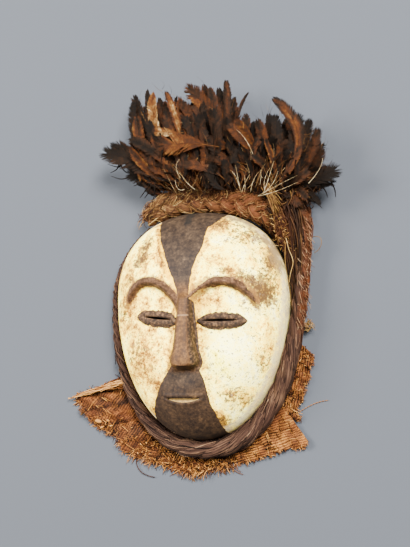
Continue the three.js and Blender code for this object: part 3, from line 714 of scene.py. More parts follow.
def laid_on(centres, radii, number, reach, rng, strays, lift, steps=7):
    """Paths of fibres on strands: strand point + radius (cos psi beside + sin psi up), psi turning slowly.
    Both ends dip into the strand, but a stray's far end lifts off it by up to lift u^2 millimetres."""
    strands, rings, _ = centres.shape
    side, up = beside(centres)
    which = rng.integers(strands, size=(number, 1))
    length = rng.uniform(*reach, (number, 1))
    u = np.linspace(0, 1, steps)
    at = (rng.uniform(0, 1, (number, 1)) * (rings - 1) - length * 0.5 + length * u).clip(0, rings - 1.001)
    low = at.astype(int)
    part = (at - low)[..., None]
    middle, side, up = (a[which, low] * (1 - part) + a[which, low + 1] * part for a in (centres, side, up))
    radius = radii[which, low]
    psi = rng.uniform(0, 2 * np.pi, (number, 1)) + rng.normal(0, 0.6, (number, 1)) * u
    stray = (rng.uniform(size=(number, 1)) < strays) * rng.uniform(0.3, 1, (number, 1)) * lift
    out = radius * (0.9 + 0.13 * np.sqrt(np.sin(np.pi * u).clip(0)))
    out = out * rng.uniform(0.97, 1.07, (number, 1)) + stray * u**2
    path = middle + out[..., None] * (np.cos(psi)[..., None] * side + np.sin(psi)[..., None] * up)
    path[..., 2] = path[..., 2].clip(LOWEST_FIBRE)
    return path


def bent(middles, directions, bends, steps=5):
    """Short bent fibres: middle + direction u + bend (1 - u^2), u from -1 to 1, kept above the floor."""
    u = np.linspace(-1, 1, steps)[:, None]
    path = middles[:, None] + directions[:, None] * u + bends[:, None] * (1 - u**2)
    path[..., 2] = path[..., 2].clip(LOWEST_BENT)
    return path


def bent_between(starts, ends, bends, steps=5):
    """Bent fibres from starts to ends."""
    return bent((starts + ends) / 2, (ends - starts) / 2, bends, steps)


print("a fibre's middle line stays above the floor by mm:", LOWEST_FIBRE, "or bent", LOWEST_BENT)

# %% Values along fibres
DRAWN_OUT = 14


def spread(values, points):
    """A value per tube, ring or side, repeated for every point of the grid that the tubes are made of."""
    return np.broadcast_to(values, points.shape[:3]).ravel()


def fine(rng, paths, thickness, tones, power=1.0):
    """Fine fibres for fibre_piece: tubes of seeded radius and tone, each given as lowest and highest."""
    tubes = threads(paths, rng.uniform(*thickness, (len(paths), 1)))
    return tubes, rng.uniform(*tones, (len(paths), 1, 1)) ** power, 0.0


def grain_of(points, around, seed):
    """Where each point is on its strand, 14 times shorter along it, which draws noise out lengthwise."""
    count, rings, sides, _ = points.shape
    a = 2 * np.pi * np.arange(sides) / sides
    middle = points.mean(2)
    step = np.linalg.norm(np.diff(middle, axis=1), axis=-1)
    along = np.concatenate([np.zeros((count, 1)), np.cumsum(step, 1)], 1) / DRAWN_OUT
    offset = np.random.default_rng(seed).uniform(0, 90, (count, 1, 1))
    parts = (around * np.cos(a) + offset, around * np.sin(a) + offset, along[..., None] + offset)
    return np.stack([np.broadcast_to(part, (count, rings, sides)) for part in parts], -1).reshape(-1, 3)


print("noise is drawn out along a strand this many times:", DRAWN_OUT)

# %% [markdown]
# ## What fibres look like
#
# Raffia, bark fibre and straw differ mostly in colour. Each single fibre keeps its own tone on the mesh,
# and noise read along the strand adds the streaks inside it. Dry plant fibre is matt, with only a little
# gloss where fibres lie flat, so it stays rough and its specular is low.

# %% The fibre material


def fibre_material(name, ramp, mm=0.8, bump=0.7, red="#47220F"):
    """Matt plant fibre: a ramp read by tone and lengthwise noise, pulled to a redder colour by `red`."""
    material, shader = new_material(name)
    grain = add(material, "Attribute", output="Vector", attribute_name="grain")
    tone = add(material, "Attribute", output="Fac", attribute_name="tone")
    redness = add(material, "Attribute", output="Fac", attribute_name="red")
    streaks = add(material, "TexNoise", {"Vector": grain, "Scale": 1 / mm, "Detail": 5.0, "Roughness": 0.6})
    share = add(material, "Math", [streaks, 0.6, -0.09], operation="MULTIPLY_ADD")
    place = add(material, "Math", [tone, 0.62, share], operation="MULTIPLY_ADD")
    colour = add(material, "ValToRGB", [place], stops=ramp)
    patchy = add(material, "MapRange", [streaks, 0.3, 0.6, 0.35, 0.9])
    redness = add(material, "Math", [redness, patchy], operation="MULTIPLY")
    colour = add(material, "Mix", {SHARE: redness, BELOW: colour, ABOVE: red}, MIXED, data_type="RGBA")
    relief = add(material, "Bump", {"Height": streaks, "Strength": bump, "Distance": 0.0008})
    material.node_tree.links.new(colour, shader.inputs["Base Color"])
    material.node_tree.links.new(relief, shader.inputs["Normal"])
    shader.inputs["Roughness"].default_value = 0.82
    shader.inputs["Specular IOR Level"].default_value = 0.06
    print("material", name, "has", len(material.node_tree.nodes), "nodes")
    return material


def fibre_piece(name, node, slot_name, material, parts, red=None):
    """One dressed piece from grids given as (points, tone, how thick a strand the noise runs round)."""
    sets = [tube_set(points) for points, _, _ in parts]
    tone = np.concatenate([spread(tone, points) for points, tone, _ in parts])
    grain = np.concatenate([grain_of(points, around, n) for n, (points, _, around) in enumerate(parts)])
    place = np.concatenate([points.reshape(-1, 3) for points, _, _ in parts])
    values = {"tone": tone, "grain": grain, "red": red(*place.T) if red else 0 * tone}
    return dress(make_piece(name, sets, values), node, material)


# %% [markdown]
# ## The rope round the rim
#
# A cord of dark bark fibre hugs the face. It is thin with a tight twist at the left, swells under the chin,
# and runs up the right side, where it leaves the wood and ends under the feathers. Three strands wind round
# the line. Where the rope is thick the fibres lie almost straight and the grooves between the strands
# nearly close.

# %% Where the rope runs
# degrees round the rim, and there the rope's half thickness and its gap to the wood in millimetres
degrees = [128, 141, 154, 167, 180, 196, 212, 228, 244, 258, 271, 284, 298, 314, 330, 345, 353, 360]
half_thick = [3.5, 3.8, 4.4, 5.4, 6.4, 7.5, 8.6, 9.6, 10.6, 11, 11, 11.5, 11.8, 11.3, 10.7, 9.8, 9.4, 9]
gap = np.array([0.6] * 15 + [1, 3, 6])
free_end = [[134.4, 64, 9], [135.6, 88, 9.4], [136, 112, 10.4], [135.6, 134, 10.8], [135, 152, 10]]
ROPE_RINGS, OUTER_SHARE = 640, 1.12
# the rings from which loose hairs stand off the rope, and from which it runs up the right side
HAIRY_RING, UPRIGHT_RING = 505, 520
half_thick = np.array(half_thick)
angle = np.radians(degrees)
on_rim = np.stack(rim_outline(angle), 1)
off_rim = (half_thick * OUTER_SHARE + gap)[:, None] * np.stack(rim_normal(angle), 1)
rope_line = through(np.concatenate([np.column_stack([on_rim + off_rim, half_thick]), free_end]), ROPE_RINGS)
thick = rope_line[:, 2]
rope_middle = np.column_stack([rope_line[:, :2], 4 + OUTER_SHARE * thick])
rope_step = np.append(0, np.linalg.norm(np.diff(rope_middle, axis=0), axis=1))
print("rope mm long:", rope_step.sum().round())

# %% Twist the rope
rng = np.random.default_rng(11)
side, up = beside(rope_middle)
# the lay is the length of one whole twist, and the swing how far a strand's middle is from the rope's
lay = 22 + 11 * (thick - 5.5).clip(0)
phase = np.cumsum(2 * np.pi * rope_step / lay) + 2 * np.pi * np.arange(3)[:, None] / 3
swing = thick * (0.5 - 0.2 * smooth((thick - 6) / 4))
strands = rope_middle + swing[:, None] * (np.cos(phase)[..., None] * side + np.sin(phase)[..., None] * up)
strand_radius = np.broadcast_to(1.07 * thick - swing, (3, len(thick)))


def rope_red(x, y, z):
    """Redder up the right side, on the half of the rope that is away from the wood."""
    middle_x = np.interp(y, rope_middle[UPRIGHT_RING:, 1], rope_middle[UPRIGHT_RING:, 0])
    away = smooth((y + 40) / 60) * smooth((x - middle_x + 2) / 6) * (x > 90)
    return away * (0.65 + 0.35 * uneven(y, z, 22, 20, 1.0))


# painted highlights on the rope, a pale grey sheen at its lower right and bottom: how much, where and how far
ROPE_SHEEN = [(0.3, 94, -90, 9), (0.16, 108, -62, 7), (0.14, 32, -148, 14)]
painted_sheen = np.zeros(ROPE_RINGS)
for amount, x, y, reach in ROPE_SHEEN:
    painted_sheen += amount * np.exp(-((rope_middle[:, 0] - x) ** 2 + (rope_middle[:, 1] - y) ** 2) / reach**2)
HAIRS, GOLDEN = 420, 200
laid = laid_on(strands, strand_radius, 1300, (14, 60), rng, strays=0.1, lift=3.5)
hairs_at = rope_middle[rng.integers(HAIRY_RING, ROPE_RINGS, HAIRS)] + scatter(rng, HAIRS, 3.5, 0, 3)
hairs_at = hairs_at + (5.5, 0, 6.5)
hairs = bent(hairs_at, scatter(rng, HAIRS, 1.5, 2, 1) + (-1.8, 4.0, 0.3), scatter(rng, HAIRS, 1.0))
gold_at = rng.normal((137, 128, 17), (3.5, 20, 3), (GOLDEN, 3))
gold = bent(gold_at, rng.normal((-1.5, 5, 0.5), (2, 3, 1.5), (GOLDEN, 3)), scatter(rng, GOLDEN, 1.5))
rope_fibre = fibre_material(
    "twisted_dark_bark_fibre",
    [(0.15, "#070403"), (0.34, "#140B07"), (0.5, "#2C1C14"), (0.68, "#503A29"), (0.92, "#866D50")],
    mm=1.5,
    bump=1.0,
    red="#49250F",
)
parts = [
    # the strands' tone is lifted where the painted sheen lies
    (threads(strands, strand_radius, 12), 0.44 + painted_sheen[:, None], 9.0),
    fine(rng, laid, (0.25, 0.6), (0.0, 0.86), 1.4),
    fine(rng, hairs, (0.2, 0.4), (0.0, 1.2)),
    fine(rng, gold, (0.2, 0.4), (0.3, 1.1)),
]
fibre_piece("twisted_fibre_rope", "rim_rope", "dark_fibre", rope_fibre, parts, rope_red)

# %% [markdown]
# ## The plait over the forehead
#
# Three thick strands of reddish raffia are braided along the crown. In a braid each strand swings from side
# to side once while it goes up and down twice, a third of a turn behind the next one, and that alone makes
# the chevrons. Old raffia frays, so the braid is wrapped in short golden hairs, most of all at its left
# end.

# %% Braid the plait
rng = np.random.default_rng(12)
PLAIT_RINGS, PLAIT_Z = 240, 20.5
# a strand's swings over the whole plait, how far it goes aside and up, and its radius in millimetres
SWINGS, ASIDE_MM, RISE_MM, STRAND_MM = 3.2, 9.2, 4.6, 7.4
plait_x = [-79, -62, -38, -10, 22, 50, 75, 93, 103]
plait_y = [144, 157, 165, 167.5, 166.5, 162.5, 154, 143, 131]
plait_line = through(np.column_stack([plait_x, plait_y]), PLAIT_RINGS)
middle = np.column_stack([plait_line, np.full(PLAIT_RINGS, PLAIT_Z)])
side, up = beside(middle)
t = np.linspace(0, 1, PLAIT_RINGS)
narrow = 0.6 + 0.4 * np.minimum(1, np.minimum(9 * t, 9 * (1 - t)))
phase = 2 * np.pi * (SWINGS * t + np.arange(3)[:, None] / 3)
aside, rise = ASIDE_MM * narrow * np.sin(phase), RISE_MM * narrow * np.sin(2 * phase)
strands = middle - aside[..., None] * side + rise[..., None] * up
strand_radius = np.broadcast_to(STRAND_MM * narrow, (3, PLAIT_RINGS))
print("plait mm long:", np.linalg.norm(np.diff(plait_line, axis=0), axis=1).sum().round())

# %% Fray the plait
laid = laid_on(strands, strand_radius, 1350, (16, 50), rng, strays=0.18, lift=5.0)
HAIRS = 430
where = (rng.uniform(0, 1, HAIRS) ** 1.4 * (PLAIT_RINGS - 1)).astype(int)
hair_tone = rng.uniform(0.0, 0.95, (HAIRS, 1, 1))
hairs_at = middle[where] + scatter(rng, HAIRS, 5, 6.5, 2) + (0, 1.5, 9.5)
hairs = bent(hairs_at, scatter(rng, HAIRS, 3.5, 2.5, 1) + (3.0, 3.0, 0.5), scatter(rng, HAIRS, 1.2))
hairs[..., 2] = hairs[..., 2].clip(6, 36)
raffia = fibre_material(
    "plaited_red_brown_raffia",
    [(0.15, "#0B0606"), (0.35, "#24150D"), (0.55, "#452C15"), (0.75, "#6D512C"), (0.95, "#A18C5C")],
)
parts = [
    (threads(strands, strand_radius, 12), 0.42, 8.0),
    fine(rng, laid, (0.25, 0.5), (0.05, 1.0), 1.2),
    (threads(hairs, rng.uniform(0.25, 0.5, (HAIRS, 1))), hair_tone, 0.0),
]


def plait_red(x, y, z):
    """Redder to the right, golden at the frayed left end and along the top."""
    return (0.1 + 0.6 * smooth((x + 50) / 110)) * (1 - 0.5 * smooth((y - 166) / 12))


fibre_piece("plaited_crown_braid", "crown_plait", "plaited_raffia", raffia, parts, plait_red)

# %% [markdown]
# ## Straw and knots at the right temple
#
# The gap between the wood and the free end of the rope is full of dark fibre that hangs from the crown, near
# black partly from its own colour and partly as a painted shade of the hollow there.
# On top of it lie a stiff golden tuft of straw, a clump of knotted brown thread and a few long pale straws
# that loop down to the cheek. All are threads: only how they bend, and their colour, differ.

# %% Fill the gap with hanging fibre
rng = np.random.default_rng(13)
HANGING, TUFT, UNDER, OFF_WOOD = 380, 260, 240, 1.03
start_x = rng.uniform(92, 132, HANGING)
start_y = rng.uniform(150, 186, HANGING) - 0.5 * (start_x - 92)
gap_top = np.stack([start_x, start_y, rng.uniform(16, 42, HANGING)], 1)
drop = rng.uniform(0.25, 1, HANGING) ** 0.8
foot_x = (start_x * 0.35 + 81 + 3 * rng.normal(size=HANGING)).clip(None, 126)
gap_foot = np.stack([foot_x, start_y - 128 * drop, 22 - 12 * drop], 1)
under_x = rng.uniform(0, 104, UNDER)
under_y = np.interp(under_x, *plait_line.T) - rng.uniform(2, 12, UNDER)
under_top = np.stack([under_x, under_y, rng.uniform(8, 26, UNDER)], 1)
hangs = [rng.normal(5, 6, UNDER), -rng.uniform(8, 30, UNDER), -rng.uniform(0, 8, UNDER)]
under_foot = under_top + np.stack(hangs, 1)
for foot in (gap_foot, under_foot):
    share = rim_share(foot[:, 0], foot[:, 1])
    inside = share < OFF_WOOD
    foot[:, 0] = np.where(inside, foot[:, 0] * OFF_WOOD / share, foot[:, 0])
    foot[:, 1] = np.where(inside, WIDEST_Y + (foot[:, 1] - WIDEST_Y) * OFF_WOOD / share, foot[:, 1])
hanging = bent_between(gap_top, gap_foot, scatter(rng, HANGING, 3, 2, 3) + (7, 4, 3), 8)
under = bent_between(under_top, under_foot, scatter(rng, UNDER, 1.5), 6)
tuft_bend = scatter(rng, TUFT, 4)
tuft = bent(rng.normal((130, 170, 34), (11, 8, 5), (TUFT, 3)), scatter(rng, TUFT, 5, 6, 3), tuft_bend, 6)
print("dark fibres:", HANGING + TUFT + UNDER)

# %% Knots and straws over it
KNOTS, GOLDEN, NUB, STRAW_RINGS = 520, 60, 46, 30
knot_line = through([[97, 152, 36], [104, 138, 36], [110, 122, 34], [116, 106, 31], [120, 98, 28]], 60)
knot_at = knot_line[rng.integers(len(knot_line), size=KNOTS)] + scatter(rng, KNOTS, 4.5, 3, 3)
knots = bent(knot_at, scatter(rng, KNOTS, 1.5, 1.5, 1), scatter(rng, KNOTS, 1.4), 6)
golden_top = np.array([96, 176, 46]) + scatter(rng, GOLDEN, 3)
golden_foot = np.array([106, 148, 42]) + scatter(rng, GOLDEN, 3.5, 8, 3)
nub_at = rng.normal((140, -2, 12), (2.5, 2.5, 1.5), (NUB, 3))
nub = bent(nub_at, scatter(rng, NUB, 2.2), scatter(rng, NUB, 1.5))
golden = bent_between(golden_top, golden_foot, scatter(rng, GOLDEN, 1.2))
straw_lines = (
    [[118, 110, 38], [121, 96, 36], [126, 80, 33], [122, 64, 31], [119, 52, 27]],
    [[117, 104, 37], [116, 84, 35], [117, 66, 32], [119, 46, 26], [120, 28, 22]],
    [[118, 60, 30], [120, 44, 27], [121, 30, 24], [122, 16, 20]],
    [[146, 112, 16], [152, 113, 18], [159, 111, 18], [160, 103, 17], [156, 96, 16], [150, 92, 14]],
    [[144, 118, 18], [147, 124, 20], [146, 134, 20], [143, 142, 20]],
)
straws = np.stack([through(line, STRAW_RINGS) for line in straw_lines])
straw_radius = np.array([0.45, 0.4, 0.35, 0.5, 0.35])[:, None]
straw_tone = np.array([0.85, 0.7, 0.5, 0.45, 0.0])[:, None, None]
print("knotted threads:", len(knots), "golden straws:", len(golden))

# %% The straw piece
straw = fibre_material(
    "pale_dry_straw",
    [(0.05, "#070403"), (0.25, "#160D07"), (0.45, "#3A2411"), (0.68, "#6F5227"), (0.95, "#A38F5E")],
    bump=0.4,
)
parts = [
    # the hanging fibres and those under the plait are dark partly as painted shade of the hollow by the plait
    fine(rng, hanging, (0.3, 0.85), (-0.15, 0.35)),
    fine(rng, under, (0.4, 1.0), (0.0, 0.55)),
    fine(rng, tuft, (0.3, 0.7), (-0.1, 0.5)),
    fine(rng, knots, (0.25, 0.5), (-0.4, 0.85)),
    fine(rng, golden, (0.3, 0.8), (0.3, 0.8)),
    fine(rng, nub, (0.3, 0.6), (0.4, 0.9)),
    (threads(straws, straw_radius), straw_tone, 0.0),
]


def straw_red(x, y, z):
    """Redder among the knots."""
    return 0.5 * spot(x, y, 112, 120, 14, 26)


fibre_piece("hanging_straw", "side_fibre_bundle", "straw_fibre", straw, parts, straw_red)

# %% [markdown]
# ## Rags of raffia cloth
#
# Torn pieces of an old woven raffia cloth stick out from behind the rope. A rag has two sides, so its grid
# goes over the top from the rim to the torn edge and back underneath. The cloth is ribbed: thick threads
# lie side by side, which a cosine across them shows in height and in painted light and shade, and thin ones
# cross them. Some hundreds of loose threads stand up out of it and make the fringe, because an old rag is
# as much fray as cloth.

# %% The cloth material and its threads' colours
raffia_cloth = fibre_material(
    "coarse_ribbed_raffia_cloth",
    [(0.15, "#0C0603"), (0.34, "#2C170A"), (0.52, "#553114"), (0.7, "#7E5323"), (0.92, "#AA7F49")],
    mm=1.1,
    red="#4A220B",
)
# millimetres between the ribs, and between the threads across them, which are drawn coarser to show
RIB_MM, WEFT_MM = 3.2, 2.2
# points on the fine line through a rag's torn edge, and how many of them one step of its outline takes
EDGE_POINTS, EDGE_STEP = 900, 12


def cloth_red(x, y, z):
    """Redder in patches a few centimetres wide."""
    return smooth(0.5 + uneven(x, y, 21, 50, 0.5)) * 0.35


def rag_plan(start, end, torn, columns, rows, rng):
    """A flat rag: (1 - v) rim(a) + v edge(a), where edge is a line through points plus a ragged wave."""
    torn = np.array(torn, float)
    inner = np.stack(rim_outline(np.linspace(start, end, columns)), 1)
    outer = through(np.concatenate([inner[:1], torn, inner[-1:]]), EDGE_POINTS)
    first, last = (np.argmin(np.linalg.norm(outer - torn[n], axis=1)) for n in (0, -1))
    outer = through(outer[first:last:EDGE_STEP], columns)
    wave = np.sin(np.arange(columns)[:, None] * (0.24, 0.37) + first)
    outer += rng.normal(0, 0.6, (columns, 2)) + 1.2 * wave
    v = np.linspace(0, 1, rows)[None, :, None]
    return inner[:, None] * (1 - v) + outer[:, None] * v


def rag_height(flat, rib_angle, wave, shade):
    """Height and tone of a rag: a swell towards the torn edge, 0.6 cos(2 pi b / 3.2) for the ribs and
    0.2 sin(2 pi a / 2.2) for the threads across them, a and b millimetres along and across the ribs.
    The tone is the rag's own shade, with painted shade in the grooves and painted highlights on the ribs and
    on the threads across them, and darker near the rope, partly darker fibre and partly painted shade."""
    x, y = flat[..., 0], flat[..., 1]
    inwards = np.linalg.norm(flat - flat[:, :1], axis=-1)
    along = x * math.cos(rib_angle) + y * math.sin(rib_angle)
    across = y * math.cos(rib_angle) - x * math.sin(rib_angle) + 0.7 * uneven(x, y, 5, 40, 1.0)
    ribs = np.cos(2 * np.pi * across / RIB_MM)
    crossing = np.sin(2 * np.pi * along / WEFT_MM)
    swell = 0.6 + smooth((inwards - 16) / 22) * wave * (0.55 + 0.45 * uneven(x, y, 6, 45, 1.0))
    # painted light and shade: lighter on the ribs, darker in their grooves, lighter where crossing threads
    # rise
    tone = shade + 0.3 * ribs + 0.14 * crossing * (ribs < 0) + 0.1 * uneven(x, y, 9, 34, 1.0)
    # darker near the rope: partly darker tangled fibre, partly painted shade
    tone -= 0.35 * smooth((30 - inwards) / 16)
    return (swell + 1.1 + 0.6 * ribs + 0.2 * crossing).clip(0.6), swell, tone


print("ribs every", RIB_MM, "mm")

# %% Loose threads of a rag


def fringe_of(top, number, longest, rng):
    """Threads that leave the torn edge: root + length (out u + across curl u^2), u from -0.4 to 1."""
    edge = rng.integers(0, len(top), number)
    out = (top[edge, -1] - top[edge, 0])[:, :2]
    aim = np.arctan2(out[:, 1], out[:, 0]) + rng.normal(0, 0.5, number)
    length = (rng.uniform(0.15, 1, number) ** 1.6 * longest)[:, None, None]
    u = np.linspace(-0.4, 1, 5)[:, None]
    way = polar(1, aim, rng.normal(0, 0.15, number))[:, None]
    across = np.stack([-np.sin(aim), np.cos(aim), rng.normal(0, 0.2, number)], 1)[:, None]
    curl = rng.normal(0, 0.3, (number, 1, 1))
    hair = (top[edge, -1] - (0, 0, 0.5))[:, None] + length * (way * u + across * curl * u**2)
    hair[..., 2] = hair[..., 2].clip(LOWEST_FIBRE)
    return hair


def fuzz_of(top, number, rib_angle, wild, rng):
    """Threads on the cloth: most lie along the ribs or across them, and a wild share stands up in loops."""
    column = rng.integers(2, len(top) - 2, number)
    foot = top[column, (top.shape[1] * rng.uniform(0.22, 0.97, number)).astype(int)]
    loops = rng.uniform(size=number) < wild
    aim = rib_angle + np.pi / 2 * (rng.uniform(size=number) < 0.35) + rng.normal(0, 0.12, number)
    aim = np.where(loops, rng.uniform(0, np.pi, number), aim)
    half = np.where(loops, rng.uniform(1, 3.5, number), rng.uniform(2, 9, number))
    direction = polar(half, aim, loops * rng.normal(0, 0.8, number))
    sideways = rng.normal(0, 1, (number, 2)) * np.where(loops, 2.0, 0.3)[:, None]
    upwards = np.where(loops, rng.uniform(1, 4.5, number), rng.uniform(0.3, 1.1, number))
    return bent(foot, direction, np.column_stack([sideways, upwards]))


def rag(name, node, degrees, torn, wave, seed, rib_degrees, loose, longest, wild, shade, size, extra=()):
    """A ribbed rag from behind the rope to a torn edge, made as one sheet, with its threads as a second
    piece. loose counts the threads of the fringe and of the fuzz; size is the grid's points along the rim and
    outwards."""
    rng = np.random.default_rng(seed)
    rib_angle = math.radians(rib_degrees)
    flat = rag_plan(*np.radians(degrees), torn, *size, rng)
    height, swell, tone = rag_height(flat, rib_angle, wave, shade)
    top = np.dstack([flat, height])
    under = np.dstack([flat, (swell - 0.1).clip(0.15)])
    sheet = np.concatenate([top, under[:, ::-1]], 1)[None]
    tone = np.concatenate([tone, tone[:, ::-1]], 1)[None]
    fringe = fringe_of(top, loose[0], longest, rng)
    hair = np.concatenate([fringe, fuzz_of(top, loose[1], rib_angle, wild, rng)])
    hair_tone = rng.uniform(-0.1, 1.0, (len(hair), 1, 1)) + 0.5 * (shade - 0.4)
    parts = [(threads(hair, rng.uniform(0.25, 0.5, (len(hair), 1))), hair_tone, 0.0), *extra]
    worn = ("raffia_cloth", raffia_cloth)
    cloth = fibre_piece(name, node, *worn, [(sheet, tone, 0.0)], cloth_red)
    fray = fibre_piece(name + "_threads", node, *worn, parts, cloth_red)


# %% The rolled edge, knots and strings of the left rag
rng = np.random.default_rng(35)
ROLLED, ROLL_RINGS, STRING_RINGS = 260, 80, 30
rolled_edge = [[-98, -72, 14], [-124, -77, 14], [-150, -84, 12], [-176, -91, 9], [-198, -97, 6]]
roll_line = through(rolled_edge, ROLL_RINGS)
at = (rng.uniform(0, 1, ROLLED) * 60).astype(int)
reach = rng.integers(8, 24, ROLLED)
roll_start, roll_end = roll_line[at], roll_line[(at + reach).clip(None, ROLL_RINGS - 1)]
roll_middle = (roll_start + roll_end) / 2 + scatter(rng, ROLLED, 1, 2.2, 1.8) * (1.1 - at / 70)[:, None]
roll = bent(roll_middle, (roll_end - roll_start) / 2, scatter(rng, ROLLED, 1))
knot_places = np.array([[-151, -127, 10], [-137, -126, 10], [-146, -135, 9], [-133, -133, 9]], float)
knot_ends = np.array([[4.5, -1, 0], [2, -1, 0], [3, 1.5, 0], [2.5, 0.5, 0]])
beads = bent(knot_places, knot_ends, 0 * knot_ends, 9)
bead_radius = 2.4 * np.sqrt(np.sin(np.pi * np.linspace(0.04, 0.96, 9)))
bead_size = np.array([1.2, 0.7, 0.6, 0.5])[:, None]
knotted = threads(beads, bead_radius * bead_size, 8)
# the knots' pale tone is a painted highlight, the glint on shiny knots
left_extra = [fine(rng, roll, (0.3, 0.75), (0.35, 1.2)), (knotted, 0.85, 0.0)]
string_lines = (
    [[-98, -170, 2], [-98, -184, 2], [-92, -194, 2], [-82, -199, 2], [-72, -201, 2]],
    [[28, -178, 3], [34, -186, 2], [42, -192, 2], [50, -195, 1.5]],
    [[20, -180, 3], [30, -182, 2], [38, -186, 2], [47, -192, 1.5]],
)
strings = np.stack([through(line, STRING_RINGS) for line in string_lines])
string_radius, string_tone = np.array([0.6, 0.5, 0.4])[:, None], np.array([0.1, 0.35, 0.2])[:, None, None]
chin_extra = [(threads(strings, string_radius), string_tone, 0.0)]
beaded_line = through([[126, -113, 2], [140, -105, 1.5], [153, -100, 1.5], [164, -98, 1.5]], 40)
beaded = 0.45 + 0.35 * np.sin(np.arange(len(beaded_line)) * 1.6)
strip_extra = [(threads(beaded_line[None], beaded), 0.7, 0.0)]
print("threads of the rolled edge:", len(roll))

# %% Cut and fray the four rags
rag(
    "rag_lower_left", "cloth_flap_left", (210, 248),
    [[-150, -80], [-184, -94], [-177, -110], [-166, -124], [-150, -137], [-128, -148], [-108, -168]],
    7, 31, 55, (300, 200), 8.0, 0.3, 0.25, (150, 70), left_extra,
)  # fmt: skip
rag(
    "rag_under_chin", "cloth_fringe_chin", (243, 290),
    [[-106, -166], [-84, -175], [-58, -183], [-34, -191], [-12, -193], [10, -186], [40, -177]],
    4, 32, 70, (520, 960), 13.0, 0.85, 0.32, (130, 36), chin_extra,
)  # fmt: skip
rag(
    "rag_lower_right", "cloth_flap_right", (283, 320), [[44, -179], [70, -174], [104, -162], [136, -150]],
    6, 33, 17, (140, 90), 5.0, 0.1, 0.46, (150, 66),
)  # fmt: skip
rag(
    "rag_right_side", "cloth_strip_side", (316, 345),
    [[124, -124], [124, -112], [132, -90], [139, -68], [143, -38]],
    5, 34, 80, (160, 300), 4.0, 0.5, 0.36, (90, 34), strip_extra,
)  # fmt: skip

# %% [markdown]
# ## Feathers: one function for all of them
#
# A cock's body feather is a curved shaft with two rows of barbs. The shaft is a quadratic curve from quill
# to tip; each barb is a narrow strip that leaves it at an angle, longest in the middle of the feather and
# leaning forward near the tip. Barbs that have come unhooked turn by a few degrees in groups, which opens
# the ragged splits. All feathers of a layer are worked out together, as arrays with one axis each for
# feather, side, barb and place on it.

# %% A feather's shaft


def shaft_at(t, root, control, tip, roll, twist):
    """Points of (1-t)^2 root + 2t(1-t) control + t^2 tip, and the directions along, left of and above the
    shaft, turned about it by roll + twist t degrees."""
    ones = (len(root), *(1,) * (t.ndim - 1))
    t = t[..., None]
    a, b, c = (v.reshape(*ones, 3) for v in (root, control, tip))
    point = (1 - t) ** 2 * a + 2 * t * (1 - t) * b + t**2 * c
    ahead = unit((1 - t) * (b - a) + t * (c - b))
    above = unit((0, 0, 1) - ahead[..., 2:] * ahead)
    left = np.cross(above, ahead)
    turn = np.radians(roll.reshape(*ones, 1) + twist.reshape(*ones, 1) * t)
    cos, sin = np.cos(turn), np.sin(turn)
    return point, ahead, left * cos - above * sin, above * cos + left * sin


flat_shaft = [np.array([corner], float) for corner in ((0, 0, 0), (50, 20, 0), (100, 0, 0))]
halfway = shaft_at(np.array([[0.5]]), *flat_shaft, np.zeros(1), np.zeros(1))[0]
print("halfway along a bowed shaft, in mm:", halfway.ravel().tolist())

# %% Grow feathers
# the CAD's height, which no feather passes
TALLEST = 108


